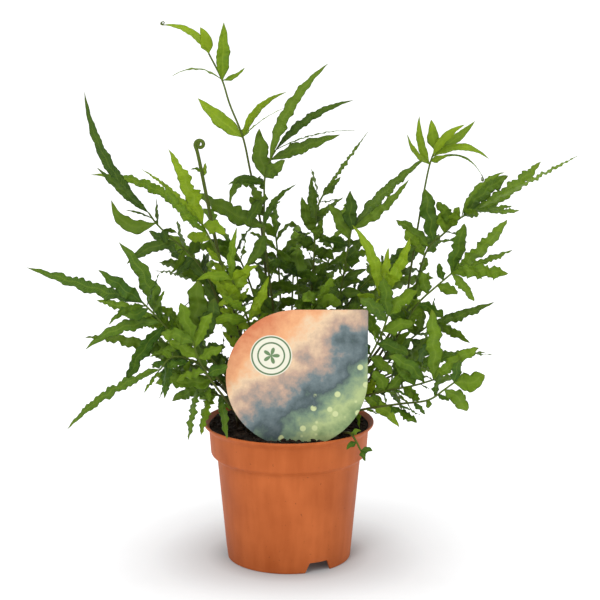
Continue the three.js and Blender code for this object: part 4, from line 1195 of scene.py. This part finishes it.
def blade_color(n, dark, light, band):
    """From dark to light by place and leaflet, with a pale band, rib and veins; and how much is vein."""
    along, across, chance = n.tint()
    blotch = n.noise(BLOTCH)
    shade = n.plus(n.times(blotch, 0.6), n.times(chance, 0.75))
    shade = n.plus(shade, n.times(n.noise(FINE), 0.55))
    shade = n.times(n.plus(shade, n.times(along, 0.2)), 0.6)
    color = n.ramp(shade, [(0.36, dark), (0.86, light)])
    aside = n.math("ABSOLUTE", n.minus(n.times(across, 2), 1))
    pale = n.minus(0.5, n.times(aside, 1.4), clamp=True)
    color = n.mix(n.times(pale, n.times(chance, 0.7)), color, band)
    slant = n.plus(n.times(along, 150), n.times(aside, -6))
    vein = n.math("POWER", n.math("ABSOLUTE", n.math("SINE", slant)), 6)
    color = n.mix(n.times(vein, 0.2), color, band)
    on_rib = n.minus(1, n.times(aside, 9), clamp=True)
    color = n.mix(n.times(on_rib, 0.38), color, band)
    worn = n.times(n.minus(along, 0.88, clamp=True), 4, clamp=True)
    return n.mix(n.times(worn, blotch), color, WORN_TIP), vein


def stalk_color(n):
    """Brown at the foot and green above, with dark flecks."""
    along, _, _ = n.tint()
    return n.mix(n.times(n.noise(FINE), 0.5), n.ramp(along, STALK_COLORS), STALK_FLECK)


def frond_material(name, dark, light, band):
    n = Nodes(name)
    blade, vein = blade_color(n, dark, light, band)
    kind = n.add("Attribute", attribute_name="tint").outputs["Alpha"]
    color = n.mix(kind, blade, stalk_color(n))
    fine = n.noise(FINE)
    roughness = n.plus(n.times(fine, 0.3), 0.34)
    n.surface({"Base Color": color, "Roughness": roughness, "Specular IOR Level": 0.3})
    n.bump(n.plus(n.times(vein, -0.5), n.times(fine, 0.6)), 0.6, 0.0005)
    translucent = n.add("BsdfTranslucent")
    n.link(color, translucent.inputs["Color"])
    blend = n.add("MixShader")
    blend.inputs[0].default_value = LIGHT_THROUGH
    n.link(n.shader.outputs[0], blend.inputs[1])
    n.link(translucent.outputs[0], blend.inputs[2])
    n.link(blend.outputs[0], n.tree.nodes["Material Output"].inputs["Surface"])
    return n.material


def pot_material():
    """Clouded and faintly streaked clay colour with a few specks of dirt."""
    n = Nodes("pot")
    cloud = n.noise(CLOUD)
    stretch = n.add("Mapping")
    stretch.inputs["Scale"].default_value = (1, 1, 0.12)
    n.link(n.where(), stretch.inputs["Vector"])
    streak = n.noise(STREAK, stretch.outputs[0])
    color = n.ramp(n.plus(n.times(cloud, 0.6), n.times(streak, 0.4)), POT_COLORS)
    dirt = n.ramp(n.noise(SPECK), [(0.71, BLACK), (0.77, WHITE)])
    fine = n.noise(POT_GRAIN)
    roughness = n.plus(n.plus(n.times(fine, 0.2), n.times(cloud, 0.3)), 0.3)
    n.surface({
        "Base Color": n.mix(n.times(dirt, 0.7), color, POT_DIRT),
        "Roughness": roughness,
        "Specular IOR Level": 0.15,
    })
    n.bump(fine, 0.15, 0.0002)
    return n.material


def soil_material():
    n = Nodes("soil")
    coarse = n.noise(CLODS)
    n.surface({"Base Color": n.ramp(coarse, SOIL_COLORS), "Roughness": 0.92, "Specular IOR Level": 0.2})
    n.bump(coarse, 0.9, 0.0012)
    return n.material


def washes(n, across, up):
    """Slanting washes of paint from orange to green, with round dots on the green."""
    level = n.times(n.minus(up, across), 0.75)
    level = n.plus(level, n.times(n.minus(n.noise(WASH), 0.5), 1.7))
    level = n.plus(level, n.times(n.minus(n.noise(RAGGED), 0.5), 0.25))
    level = n.plus(n.times(level, 0.42), 0.5)
    dots = n.add("TexVoronoi")
    dots.inputs["Scale"].default_value = 130
    n.link(n.where(), dots.inputs["Vector"])
    dotted = n.times(n.below(dots.outputs["Distance"], 0.3, 0.06), n.below(level, 0.36, 0.04))
    return n.mix(dotted, n.ramp(level, PAINT), DOT)


def badged(n, paint, across, up):
    """The paint with a pale badge on it: two rings round a flower."""
    aside = n.plus(across, BADGE["left"])
    above = n.minus(up, BADGE["up"])
    away = n.math("SQRT", n.plus(n.math("POWER", aside, 2), n.math("POWER", above, 2)))
    paint = n.mix(n.below(away, BADGE["radius"], 0.01), paint, BADGE_FACE)
    for share in BADGE["rings"]:
        off_ring = n.math("ABSOLUTE", n.minus(away, BADGE["radius"] * share))
        paint = n.mix(n.below(off_ring, 0.014, 0.006), paint, BADGE_RING)
    turn = n.times(n.math("ARCTAN2", above, aside), BADGE["petals"] / 2)
    petal = n.times(n.math("ABSOLUTE", n.math("COSINE", turn)), BADGE["radius"] * 0.42)
    return n.mix(n.below(away, petal, 0.01), paint, BADGE_FLOWER)


def label_material():
    n = Nodes("label")
    place_in = n.add("SeparateXYZ")
    n.link(n.where(), place_in.inputs[0])
    size = LABEL["radius"] * MM
    across = n.math("DIVIDE", n.minus(place_in.outputs[0], LABEL["x"] * MM), size)
    up = n.math("DIVIDE", n.minus(place_in.outputs[2], LABEL["z"] * MM), size)
    _, _, front = n.tint()
    color = n.mix(front, CARD_BACK, badged(n, washes(n, across, up), across, up))
    color = n.mix(n.times(n.noise(CARD_GRAIN), 0.12), color, CARD_SHADE)
    n.surface({"Base Color": color, "Roughness": 0.4, "Specular IOR Level": 0.3})
    return n.material


# Studio

FLOOR_SIZE = 26000

# How strongly the floor glows, as radius and strength: painted light, faint near the pot to paint its
# shadow
FLOOR_GLOW_WITH_PAINTED_SHADOW = [(38, 0.02), (60, 0.28), (100, 0.5), (170, 0.68), (300, 0.82), (900, 0.89), (2200, 0.96)]

# The surroundings' strength falls from To Min to To Max as the view rises from From Min to From Max
SURROUNDINGS = {"From Min": 0.3, "From Max": 0.5, "To Min": 1, "To Max": 0.3}

# Lamps in metres and watts: name, place, aim, width and power
LAMPS = [
    ("key", (-0.45, -1.3, 1.6), (0, 0, 0.15), 0.8, 16),
    ("fill", (1.2, -1.2, 0.8), (0, 0, 0.2), 1.4, 4),
    ("top", (0.1, 0.2, 2), (0, 0, 0), 1, 12),
]


def floor_material():
    """A pale surface whose painted glow is faint near the pot, painting its shadow, and grows farther off.
    """
    n = Nodes("floor")
    away = n.add("VectorMath", operation="LENGTH")
    n.link(n.where(), away.inputs[0])
    edge = FLOOR_GLOW_WITH_PAINTED_SHADOW[-1][0]
    stops = [(radius / edge, (glow, glow, glow, 1)) for radius, glow in FLOOR_GLOW_WITH_PAINTED_SHADOW]
    n.surface({
        "Base Color": (0.5, 0.51, 0.52, 1),
        "Roughness": 0.9,
        "Specular IOR Level": 0.1,
        "Emission Color": WHITE,
        # Painted light: the glow grows with distance from the pot, faint near it to paint the pot's shadow
        "Emission Strength": n.ramp(n.math("DIVIDE", away.outputs["Value"], edge * MM), stops),
    })
    return n.material


def add_floor():
    bm = bmesh.new()
    bmesh.ops.create_grid(bm, x_segments=1, y_segments=1, size=FLOOR_SIZE / 2)
    piece_of("floor", bm, floor_material())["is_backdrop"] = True


def add_light(name, place_at, aim, size, power):
    light = bpy.data.lights.new(name, "AREA")
    light.shape = "DISK"
    light.size = size
    light.energy = power
    lamp = bpy.data.objects.new(name, light)
    lamp.location = place_at
    lamp.rotation_euler = (Vector(aim) - lamp.location).to_track_quat("-Z", "Y").to_euler()
    bpy.context.collection.objects.link(lamp)


def add_surroundings():
    """White light from all round that is weaker overhead."""
    world = bpy.data.worlds.new("world")
    world.use_nodes = True
    tree = world.node_tree
    place_in = tree.nodes.new("ShaderNodeSeparateXYZ")
    tree.links.new(tree.nodes.new("ShaderNodeTexCoord").outputs["Generated"], place_in.inputs[0])
    fade = tree.nodes.new("ShaderNodeMapRange")
    for name, value in SURROUNDINGS.items():
        fade.inputs[name].default_value = value
    tree.links.new(place_in.outputs["Z"], fade.inputs["Value"])
    tree.links.new(fade.outputs[0], tree.nodes["Background"].inputs["Strength"])
    tree.nodes["Background"].inputs["Color"].default_value = WHITE
    bpy.context.scene.world = world


def add_studio():
    add_floor()
    add_surroundings()
    for lamp in LAMPS:
        add_light(*lamp)
    bpy.context.scene.view_settings.view_transform = "Standard"
    bpy.context.scene.view_settings.look = "None"


def write_sizes():
    """Works out the frame's box and the dressed part's box, in metres, and neither writes nor returns
    them.
    """
    boxes = {"cad": CAD_BOX, "visual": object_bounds()}
    {name: [list(corner) for corner in box] for name, box in boxes.items()}


add_camera()
add_studio()
materials = {tone: frond_material(SLOTS[tone], *colors) for tone, colors in FROND_COLORS.items()}
add_pot(pot_material())
add_soil(soil_material())
add_label(label_material())
fronds = [measured_frond(row, i + 1) for i, row in enumerate(FRONDS)]
fronds += [rule_frond(row, 101 + i) for i, row in enumerate(RULE_FRONDS)]
fronds = [settled(frond) for frond in fronds]
add_small_leaves(fronds)
for number, frond in enumerate(fronds):
    add_frond(frond, number, materials)
write_sizes()
